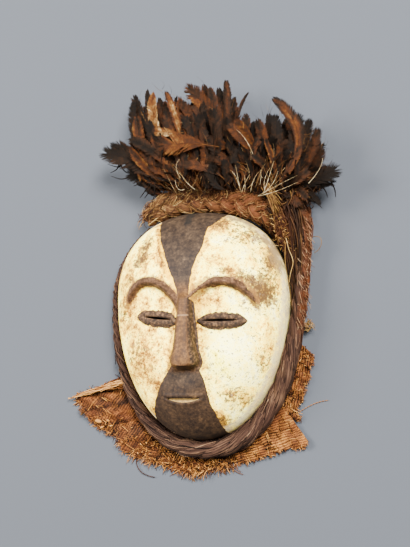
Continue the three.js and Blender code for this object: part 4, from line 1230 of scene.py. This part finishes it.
def grow(rows, seed, barbs, sides_differ=0.06):
    """Barb strips and shafts for rows of root x y z, tip x y z, bow, half width, tone, ragged, pale edge and
    roll. Barb: shaft + length (u out + 0.2 u^2 forward + cup u^2 up), u from 0 at the shaft to 1. At the
    place k on the shaft a barb reaches 0.62 half widths forward and sqrt((1 - (1-k)^2)(1 - k^6)) of them
    aside, which rounds the tip."""
    rng = np.random.default_rng(seed)
    rows = np.asarray(rows, float)
    root, tip = rows[:, 0:3], rows[:, 3:6]
    bow, half, tone, ragged, edge, roll = rows[:, 6:12].T
    count = len(rows)
    chord = tip - root
    size = np.linalg.norm(chord, axis=1)
    level = unit(np.cross((0.0, 0.0, 1.0), chord))
    rise = rng.uniform(0.0, 0.09, count) * size
    control = (root + tip) / 2 + 2 * bow[:, None] * level + 2 * rise[:, None] * (0, 0, 1)
    twist = rng.normal(0, 11, count)
    spine = (root, control, tip, roll, twist)

    def per(values):
        """One value per feather, ready to meet the barbs' axes."""
        return values[:, None, None]

    bare = rng.uniform(0.1, 0.2, (count, 1, 1))
    end = per((1 - 0.75 * half / size).clip(0.5))
    j = ((np.arange(barbs) + rng.uniform(-0.3, 0.3, (count, 2, barbs))) / barbs).clip(0, 0.998)
    k = 1 - (1 - j) ** 1.35
    point, ahead, left, above = shaft_at(bare + (end - bare) * k, *spine)
    groups = np.cumsum(rng.uniform(size=(count, 2, barbs)) < 0.12, axis=2)
    turned = np.take_along_axis(rng.normal(0, 1, (count, 2, barbs + 1)), groups, 2) * per(ragged)
    aside, onwards = np.sqrt((1 - (1 - k) ** 2) * (1 - k**6)), 0.62
    angle = (np.arctan2(aside, onwards) + 0.2 * turned).clip(0.05, 1.4)
    uneven_ends = 1 + 0.07 * turned + rng.normal(0, 0.04 + 0.1 * per(ragged), k.shape)
    length = per(half) * np.hypot(aside, onwards) * uneven_ends
    length *= 1 - 0.5 * per(ragged) * (rng.uniform(size=k.shape) < 0.12)
    cup = rng.normal(0, 0.2, (count, 2, 1)) + 0.16 * turned * np.sign(rng.normal(size=(count, 1, 1)))
    spacing = per(size) * (end - bare) / barbs * (0.55 + 0.75 * (1 - j) ** 0.35)

    u = np.array([0.0, 0.35, 0.7, 1.0])[:, None]
    hand = np.array([1.0, -1.0]).reshape(1, 2, 1, 1, 1)
    angle, length, cup, spacing = (values[..., None, None] for values in (angle, length, cup, spacing))
    ahead, left, above, point = (v[:, :, :, None, :] for v in (ahead, left, above, point))
    out = np.cos(angle) * ahead + hand * np.sin(angle) * left
    across = np.sin(angle) * ahead - hand * np.cos(angle) * left
    line = point + length * (u * out + 0.2 * u**2 * ahead + cup * u**2 * above)
    wide = spacing * (0.64 - 0.42 * u**3) * -hand
    strip = np.stack([line - wide * across, line + wide * across], 4)
    strip[..., 2] = strip[..., 2].clip(1.0, TALLEST)

    u = u[:, 0]
    shade = per(tone)[..., None] + per(edge)[..., None] * smooth((u - 0.4) / 0.45)
    shade = shade + sides_differ * hand[..., 0] * rng.normal(0, 1, count).reshape(-1, 1, 1, 1)
    shade = shade + np.take_along_axis(rng.normal(0, 0.05, (count, 2, barbs + 1)), groups, 2)[..., None]
    shade = shade + rng.normal(0, 0.035, k.shape)[..., None] - 0.16 * smooth((k[..., None] - 0.78) / 0.18)
    shade = shade - 0.12 * smooth((0.35 - k[..., None]) / 0.3)
    shade = np.broadcast_to(shade[..., None], strip.shape[:-1])

    t = np.linspace(0, 1, 12)[None] * end[:, 0]
    point, ahead, left, above = shaft_at(t, *spine)
    stem = threads(point + 0.3 * above, half.clip(None, 9)[:, None] / 14 * (0.9 - 0.8 * t), 4)
    stem_tone = np.where(tone < 0.3, 0.24, 0.56)[:, None, None] + 0.35 * (0.3 - t).clip(-0.3)[..., None]
    stem[..., 2] = stem[..., 2].clip(0.8, TALLEST)
    sets = [sheet_set(strip.reshape(-1, 4, 2, 3)), tube_set(stem)]
    return sets, np.concatenate([shade.ravel(), spread(stem_tone, stem)])


def bare_quills(roots, tips, radius, tone, bows, steps=7):
    """Stripped shafts and downy hairs: tubes that taper from root to tip along bent lines."""
    paths = bent((roots + tips) / 2, (tips - roots) / 2, bows, steps)
    tubes = threads(paths, radius[:, None] * np.linspace(1, 0.3, steps))
    return [tube_set(tubes)], spread(tone[:, None, None], tubes)


one_feather, _ = grow([[0, 0, 20, 0, 100, 20, 5, 8, 0.3, 0.4, 0, 0]], 1, 40)
print("squares of one feather's barbs and shaft:", [len(faces) for _, faces in one_feather])

# %% [markdown]
# ## What feathers look like
#
# Feather colour is a ramp from black through russet and gold to cream, and every barb carries its own place
# on it. Feather is horn in fine hooked barbs, which scatter light and leave little gloss, so its specular
# is low.

# %% The feather material
feather, shader = new_material("cock_feather_horn")
where = add(feather, "TexCoord", output="Object")
flecks = add(feather, "TexNoise", {"Vector": where, "Scale": each(5.5), "Detail": 5.0, "Roughness": 0.78})
flecks = add(feather, "Math", [flecks, -0.5], operation="ADD")
barb_tone = add(feather, "Attribute", output="Fac", attribute_name="tone")
barb_place = add(feather, "Math", [flecks, 0.85, barb_tone], operation="MULTIPLY_ADD")
feather_stops = [
    (0.0, "#0A0705"), (0.14, "#100A06"), (0.28, "#1A0F08"), (0.42, "#26140A"), (0.54, "#331A0A"),
    (0.64, "#3F260F"), (0.74, "#4E371C"), (0.86, "#69563A"), (1.0, "#9C9072"),
]  # fmt: skip
feather_colour = add(feather, "ValToRGB", [barb_place], stops=feather_stops)
feather.node_tree.links.new(feather_colour, shader.inputs["Base Color"])
shader.inputs["Roughness"].default_value = 0.7
shader.inputs["Specular IOR Level"].default_value = 0.02
print("colours on the feather's ramp:", len(feather_stops))


def feather_piece(name, node, slot_name, *grown):
    """One dressed piece from what `grow` and `bare_quills` returned."""
    sets = [each_set for sets, _ in grown for each_set in sets]
    tone = np.concatenate([tone for _, tone in grown])
    return dress(make_piece(name, sets, {"tone": tone}), node, feather)


# %% [markdown]
# ## The crest
#
# The crest is tied in two bunches behind the plait, one over each temple, and most feathers fan out from
# those two places. The feathers that catch the eye are placed one by one: golden and cream tips at the
# left, a broad russet one lying across the front, orange and dark ones at the right. The rest are drawn
# from a seeded random generator, in three layers that get shorter towards the front.

# %% Feathers chosen one by one
# root x and y, lean in degrees, length, bow to the left, half width, tone, pale edge and layer
chosen = np.array(
    [
        [-14, 181, 165, 90, -6, 13, 0.06, 0, 1],
        [-48, 189, 110, 125, 16, 8, 0.1, 0, 0],
        [-41, 191, 115, 105, 14, 9, 0.42, 0.3, 1],
        [-36, 190, 114, 138, 6, 9, 0.2, 0.1, 0],
        [-33, 190, 116, 122, 8, 10, 0.36, 0.1, 0],
        [-27, 188, 111, 126, 6, 10, 0.26, 0.1, 0],
        [-29, 189, 109, 142, 8, 8, 0.27, 0.1, 0],
        [-31, 199, 120, 115, 7, 7, 0.78, 0, 0],
        [-23, 188, 107, 133, 12, 8, 0.74, 0.1, 1],
        [-21, 189, 106, 125, 6, 8, 0.4, 0, 0],
        [-14, 189, 103, 128, -7, 6, 0.78, -0.3, 1],
        [-5, 189, 100, 120, 4, 8, 0.56, 0.2, 1],
        [-12, 191, 104, 115, 4, 9, 0.4, 0.15, 0],
        [30, 192, 110, 136, -18, 13, 0.36, 0.1, 1],
        [31, 196, 109, 124, -9, 10, 0.2, 0.1, 0],
        [27, 229, 118, 70, -5, 6, 0.42, 0, 1],
        [26, 191, 99, 134, -4, 9, 0.28, 0.15, 0],
        [29, 192, 95, 124, -5, 8, 0.16, 0.15, 1],
        [34, 187, 88, 138, -6, 7, 0.4, -0.2, 1],
        [35, 188, 94, 130, -4, 8, 0.22, 0, 0],
        [44, 187, 88, 115, -4, 8, 0.24, 0.1, 0],
        [36, 229, 176, 84, -3, 17, 0.54, 0.05, 3],
        [-14, 252, 173, 42, 1, 7, 0.8, 0, 3],
        [51, 212, 159, 85, -8, 14, 0.42, 0, 2],
        [42, 216, 128, 36, 2, 8, 0.14, 0.1, 3],
        [76, 204, 181, 110, -12, 12, 0.36, 0.1, 2],
        [67, 198, 167, 90, -8, 11, 0.3, 0, 2],
        [61, 215, 168, 56, -12, 9, 0.44, 0.15, 2],
        [22, 205, 100, 74, 5, 8, 0.08, 0, 2],
        [30, 204, 93, 78, -4, 8, 0.12, 0, 2],
        [43, 206, 92, 65, -5, 8, 0.1, 0, 2],
        [12, 201, 104, 74, 3, 8, 0.14, 0.1, 2],
        [23, 201, 115, 106, -6, 10, 0.44, 0, 1],
        [-13, 185, 105, 115, 5, 10, 0.4, 0.1, 1],
        [-19, 183, 117, 105, 8, 9, 0.14, 0, 1],
        [-21, 180, 129, 92, 2, 9, 0.16, 0.2, 1],
        [-21, 198, 143, 80, -5, 9, 0.1, 0.2, 2],
        [-30, 186, 126, 84, 6, 7, 0.34, 0.3, 2],
        [-34, 184, 136, 74, 5, 7, 0.46, 0.25, 2],
        [45, 182, 157, 65, -9, 9, 0.34, 0, 2],
        [56, 182, 131, 53, -7, 9, 0.3, 0, 2],
        [52, 249, 70, 58, 6, 3, 0.2, 0, 1],
        [84, 211, 127, 60, -2, 7, 0.56, 0.05, 2],
        [84, 214, 119, 58, -5, 7, 0.58, 0.1, 2],
        [78, 176, 84, 66, 5, 7, 0.34, 0.2, 2],
        [83, 173, 96, 78, -7, 8, 0.5, 0, 1],
        [86, 177, 92, 90, -8, 8, 0.4, 0.1, 1],
        [85, 181, 83, 95, -8, 8, 0.14, 0, 1],
        [78, 182, 98, 98, 2, 8, 0.32, 0.15, 0],
        [90, 181, 79, 92, -8, 8, 0.08, 0, 1],
        [90, 180, 73, 86, -5, 8, 0.36, 0, 0],
        [103, 195, 72, 42, -3, 5, 0.46, 0, 2],
        [108, 177, 63, 98, -5, 9, 0.12, 0, 1],
        [109, 179, 74, 100, -5, 8, 0.2, 0, 0],
        [107, 173, 60, 84, -6, 8, 0.36, 0.1, 1],
        [124, 176, 62, 84, -7, 8, 0.44, -0.1, 1],
        [135, 179, 57, 57, -4, 9, 0.3, 0.1, 0],
        [106, 172, 53, 64, -4, 8, 0.44, 0.1, 2],
        [111, 173, 42, 52, -3, 8, 0.24, 0, 2],
        [118, 173, 30, 42, -2, 8, 0.34, 0.1, 2],
        [118, 172, 7, 46, 3, 8, 0.14, 0, 0],
        [112, 176, -28, 42, 6, 7, 0.3, 0.2, 1],
        [109, 173, -42, 38, 5, 7, 0.4, 0.1, 1],
        [134, 174, -40, 40, 5, 4, 0.06, 0, 1],
    ]
)
LAYER_FLOOR = np.array([18, 28, 42, 58])


def chosen_rows(layers_wanted, rng):
    """Rows for grow: the tip is a length away from the root at the lean, and 8 to 20 mm higher, or level
    with it on the topmost layer, which lies across the others."""
    wanted = chosen[np.isin(chosen[:, 8], layers_wanted)]
    root_x, root_y, lean, length, bow, half, tone, edge, layer = wanted.T
    number = len(wanted)
    root_z = LAYER_FLOOR[layer.astype(int)] + rng.uniform(0, 6, number)
    tip_x, tip_y = root_x + length * np.cos(np.radians(lean)), root_y + length * np.sin(np.radians(lean))
    # all but the palest tones are drawn together, and both temples' feathers are darker
    tone = np.where(tone > 0.7, tone, 0.1 + 0.78 * tone) - 0.09 * (np.abs(root_x - 40) > 36)
    ragged, roll = rng.uniform(0.2, 0.55, number), rng.normal(0, 14, number)
    tip_z = root_z + rng.uniform(8, 20, number) * (layer < 3)
    columns = [root_x, root_y, root_z, tip_x, tip_y, tip_z, bow, half, tone, ragged, edge, roll]
    return np.column_stack(columns)


print("feathers placed one by one:", len(chosen))

# %% Feathers that fill the bunches
# the bunches' middles, and how far each reaches, as degrees and millimetres
LEFT, RIGHT, MIDDLE = (-6, 184), (94, 179), (42, 178)
LEFT_REACH = (47, 63, 88, 98, 116, 122, 138, 154, 172), (118, 138, 139, 136, 142, 148, 132, 118, 90)
RIGHT_REACH = (4, 20, 36, 50, 64, 80, 98, 120, 140), (84, 84, 92, 88, 90, 104, 96, 84, 70)
MIDDLE_REACH = (60, 130), (70, 70)
# for the back, middle and front layer: feathers in each bunch, share of the reach, height of the roots
COUNTS = (62, 46, 14), (66, 48, 18), (56, 42, 22)
SHARES = (0.68, 0.98), (0.5, 0.86), (0.32, 0.66)
ROOT_Z = (7, 22), (18, 36), (32, 46)
TONES = [0.08, 0.15, 0.21, 0.28, 0.34, 0.4, 0.48, 0.62]
TONE_SHARES = [0.12, 0.16, 0.19, 0.18, 0.15, 0.11, 0.06, 0.03]


def bunch(number, middle, fan, reach, layer, rng, darker, fanned=34):
    """Seeded feathers of a layer: rooted near a bunch's middle, fanned over angles, as long as it reaches."""
    lean = np.radians(rng.uniform(*fan, number))
    share = rng.uniform(*SHARES[layer], number)
    length = np.interp(np.degrees(lean), *reach) * share
    root_x = middle[0] + fanned * np.cos(lean) + rng.normal(0, 9, number)
    root_y = middle[1] + rng.uniform(-8, 5, number)
    root_z = rng.uniform(*ROOT_Z[layer], number)
    tip = polar(length, lean, root_z, *middle)[:, :2] + rng.normal(0, 5, (number, 2))
    tone = rng.choice(TONES, number, p=TONE_SHARES) - darker
    edge = rng.choice([0, 0, 0.12, 0.25, -0.15], number)
    half, bow, roll = rng.uniform(4, 8.5, number), rng.normal(0, 9, number), rng.normal(0, 28, number)
    columns = [root_x, root_y, root_z, tip, root_z + rng.uniform(2, 26, number), bow, half, tone]
    return np.column_stack(columns + [rng.uniform(0.3, 0.9, number), edge, roll])


print("tone shares add up to", round(sum(TONE_SHARES), 3))

# %% Quills and down
# x and y of the root and of the tip
measured_quills = np.array(
    [
        [1, 176, -14, 194], [-14, 177, -24, 188], [63, 169, 50, 198], [63, 169, 58, 204],
        [68, 169, 70, 190], [85, 163, 140, 186], [85, 163, 140, 177], [93, 166, 109, 206],
        [152, 176, 172, 206], [76, 169, 90, 194], [64, 169, 77, 190], [80, 216, 60, 250],
        [6, 267, -17, 265], [96, 167, 104, 198], [92, 166, 114, 192],
    ],
    float,
)  # fmt: skip
QUILLS, DOWN, WISPS = 170, 340, 320


def quills_of(rng):
    """Pale stripped quills at both bunches' roots, brown down under them and wisps all over the crest."""
    at_right = rng.uniform(size=QUILLS) < 0.5
    lean = np.radians(np.where(at_right, rng.uniform(15, 130, QUILLS), rng.uniform(50, 160, QUILLS)))
    heart = np.where(at_right, 92, -6) + rng.normal(0, 16, QUILLS)
    start = rng.uniform(0, 62, QUILLS) * rng.uniform(0.1, 1, QUILLS)
    root = polar(start, lean, rng.uniform(36, 58, QUILLS), heart, 170)
    way = polar(rng.uniform(10, 44, QUILLS), lean, rng.uniform(0, 8, QUILLS))
    seen = measured_quills
    roots = np.concatenate([np.column_stack([seen[:, :2], np.full(len(seen), 56)]), root])
    tips = np.concatenate([np.column_stack([seen[:, 2:], np.full(len(seen), 64)]), root + way])
    radius = np.concatenate([np.full(len(seen), 0.36), rng.uniform(0.15, 0.32, QUILLS)])
    tone = np.concatenate([np.full(len(seen), 0.9), rng.uniform(0.3, 0.9, QUILLS)])
    quills = bare_quills(roots, tips, radius, tone, scatter(rng, len(roots), 2.4))

    root = np.stack([rng.uniform(-44, 146, DOWN), rng.normal(177, 7, DOWN), rng.uniform(12, 50, DOWN)], 1)
    way = scatter(rng, DOWN, 7, 5, 3) + (0, 9, 0)
    thin, shade = rng.uniform(0.2, 0.5, DOWN), rng.uniform(0.05, 0.6, DOWN)
    downy = bare_quills(root, root + way, thin, shade, scatter(rng, DOWN, 2.5))

    at_right = rng.uniform(size=WISPS) < 0.5
    degrees = np.where(at_right, rng.uniform(5, 130, WISPS), rng.uniform(52, 168, WISPS))
    reach = np.where(at_right, np.interp(degrees, *RIGHT_REACH), np.interp(degrees, *LEFT_REACH))
    reach *= rng.uniform(0.3, 0.97, WISPS)
    lean = np.radians(degrees)
    middle = (np.where(at_right, right, left) for right, left in zip(RIGHT, LEFT))
    root = polar(reach, lean, rng.uniform(20, 64, WISPS), *middle)
    lean, length = lean + rng.normal(0, 0.7, WISPS), rng.uniform(6, 20, WISPS)
    way = polar(length, lean, rng.normal(0, 3, WISPS))
    thin, shade = rng.uniform(0.14, 0.3, WISPS), np.where(rng.uniform(size=WISPS) < 0.85, 0.2, 0.7)
    curly = bare_quills(root, root + way, thin, shade, scatter(rng, WISPS, 3))
    return [quills, downy, curly]


print("measured quills:", len(measured_quills))

# %% The three crest layers
for layer, row in enumerate(("back", "middle", "front")):
    rng = np.random.default_rng(50 + layer)
    filling = np.concatenate(
        [
            bunch(COUNTS[layer][0], LEFT, (58, 166), LEFT_REACH, layer, rng, 0.0),
            bunch(COUNTS[layer][1], RIGHT, (8, 124), RIGHT_REACH, layer, rng, 0.1),
            bunch(COUNTS[layer][2], MIDDLE, (60, 130), MIDDLE_REACH, layer, rng, 0.05, 24),
        ]
    )
    # the topmost feathers, layer 3, belong to the front row
    placed = chosen_rows([2, 3] if row == "front" else [layer], rng)
    grown = [grow(placed, 70 + layer, 92, 0.03), grow(filling, 60 + layer, 40)]
    hairs = quills_of(rng) if row == "front" else []
    feather_piece("crest_" + row, "feathers_" + row, "feather", *grown, *hairs)

# %% The sickle feather
sickle = grow([[111, 180, 46, 103, 292, 62, -33, 9, 0.5, 0.12, -0.28, 12]], 80, 110, 0.02)
feather_piece("sickle_tail_feather", "sickle_feather", "feather", sickle)

# %% [markdown]
# ## The two black feathers
#
# A black feather points out at each side. Their lower barbs have come loose and hang down in curls, thicker
# than the others because several barbs stick together, so these are drawn as threads along measured lines.

# %% Curls of loose barbs
left_curls = [
    [[-100, 233], [-104, 231], [-109, 221], [-112, 216], [-121, 218], [-131, 222]],
    [[-94, 232], [-106, 225], [-108, 216], [-102, 208], [-92, 207], [-90, 215]],
    [[-104, 234], [-108, 230], [-114, 215], [-126, 209]],
    [[-80, 218], [-84, 213], [-94, 202], [-108, 199], [-124, 204]],
    [[-90, 218], [-94, 209], [-94, 200], [-86, 194]],
    [[-60, 212], [-65, 201], [-68, 187], [-76, 179], [-82, 172]],
    [[-58, 204], [-62, 194], [-66, 183], [-75, 171]],
    [[-54, 198], [-58, 188], [-60, 175], [-64, 165]],
    [[-70, 214], [-74, 202], [-80, 192], [-90, 188]],
]
right_curls = [
    [[172, 186], [175, 184], [181, 172], [182, 161]],
    [[160, 182], [162, 179], [169, 170], [172, 161]],
    [[152, 181], [154, 178], [159, 172], [165, 170]],
    [[148, 160], [154, 156], [160, 152], [165, 147]],
]
CURL_RINGS, CURL_TONE = 40, 0.05


def curls(lines, z, thick):
    """Hanging barbs along flat lines at a height, their radius falling as thick (1 - 0.75 t)."""
    paths = np.stack([np.column_stack([through(line, CURL_RINGS), np.full(CURL_RINGS, z)]) for line in lines])
    paths[..., 2] += 3 * np.sin(np.linspace(0, 5, CURL_RINGS)) + np.arange(len(lines))[:, None] * 0.9
    tubes = threads(paths, thick * (1 - 0.75 * np.linspace(0, 1, CURL_RINGS)))
    return [tube_set(tubes)], spread(CURL_TONE, tubes)


print("curls:", len(left_curls) + len(right_curls))

# %% Black feathers
# root, tip, bow, half width, tone, raggedness, pale edge and roll
left_rows = [
    [-2, 175, 44, -136, 236, 50, -7, 16, 0.08, 0.55, 0.08, -8],
    [-6, 178, 40, -124, 246, 46, -6, 13, 0.06, 0.7, 0.1, 10],
]
right_rows = [
    [138, 168, 36, 192, 197, 42, 2, 14, 0.0, 0.45, 0.0, 6],
    [142, 166, 32, 184, 184, 40, 2, 10, 0.0, 0.6, 0.0, -8],
]
for side, rows, seed, barbs, lines, z, thick in (
    ("left", left_rows, 81, 110, left_curls, 38, 1.7),
    ("right", right_rows, 82, 80, right_curls, 34, 1.9),
):
    grown = [grow(rows, seed, barbs), curls(lines, z, thick)]
    feather_piece("black_feather_at_" + side, "black_feather_" + side, "black_feather", *grown)
print("triangles in all:", sum(triangles_of.values()))

# %% [markdown]
# ## Floor, light and camera
#
# The mask lies on plain pale grey card. The light is a large soft source from the upper right with a weaker
# and lower one from the left, so that soft shadows fall to both sides, and the camera stands over the mask,
# a little to its right and below its middle.

# %% Floor
card, shader = new_material("pale_grey_card")
# set dark, because the strong lamps lift it to a pale grey
shader.inputs["Base Color"].default_value = from_hex("#2F3237")
shader.inputs["Roughness"].default_value = 0.9
card_mesh = bpy.data.meshes.new("floor")
corners = [(-8, -8, 0), (8, -8, 0), (8, 8, 0), (-8, 8, 0)]
card_mesh.from_pydata(corners, [], [(0, 1, 2, 3)])
card_mesh.materials.append(card)
floor = bpy.data.objects.new("floor", card_mesh)
bpy.context.scene.collection.objects.link(floor)
print("floor metres wide:", floor.dimensions[0])

# %% Lights and camera


def stand(thing, place_mm, target_mm):
    """Puts a camera or light at a place, looking at a target, with its top towards the mask's forehead."""
    place, target = in_frame(place_mm), in_frame(target_mm)
    back = unit(place - target)
    right = unit(np.cross((0, 1, 0), back))
    axes = np.stack([right, np.cross(back, right), back], 1)
    thing.matrix_world = Matrix([[*axes[row], place[row]] for row in range(3)] + [[0, 0, 0, 1]])
    bpy.context.scene.collection.objects.link(thing)


for name, watts, size, place in (
    ("key", 1280, 1.6, (1700, 1700, 3300)),
    ("fill", 610, 1.5, (-2700, 700, 2300)),
):
    lamp = bpy.data.lights.new(name, "AREA")
    lamp.shape, lamp.size, lamp.energy = "SQUARE", size, watts
    stand(bpy.data.objects.new(name, lamp), place, (0, 60, 20))

world = bpy.data.worlds.new("soft_room")
world.use_nodes = True
world.node_tree.nodes["Background"].inputs["Color"].default_value = from_hex("#E6E9EC")
world.node_tree.nodes["Background"].inputs["Strength"].default_value = 0.82
bpy.context.scene.world = world

RIGHT_DEGREES, DOWN_DEGREES, DISTANCE = 17, 6, 1500.0
yaw, pitch = math.radians(RIGHT_DEGREES), math.radians(DOWN_DEGREES)
camera = bpy.data.cameras.new("camera")
camera.lens, camera.sensor_width = 74.8, 36.0
target = np.array([6.5, 68.0, 30.0])
towards = np.array([math.sin(yaw) * math.cos(pitch), -math.sin(pitch), math.cos(yaw) * math.cos(pitch)])
eye = bpy.data.objects.new("camera", camera)
stand(eye, target + DISTANCE * towards, target)
bpy.context.scene.camera = eye
print("camera degrees from straight above:", RIGHT_DEGREES, "right,", DOWN_DEGREES, "down")
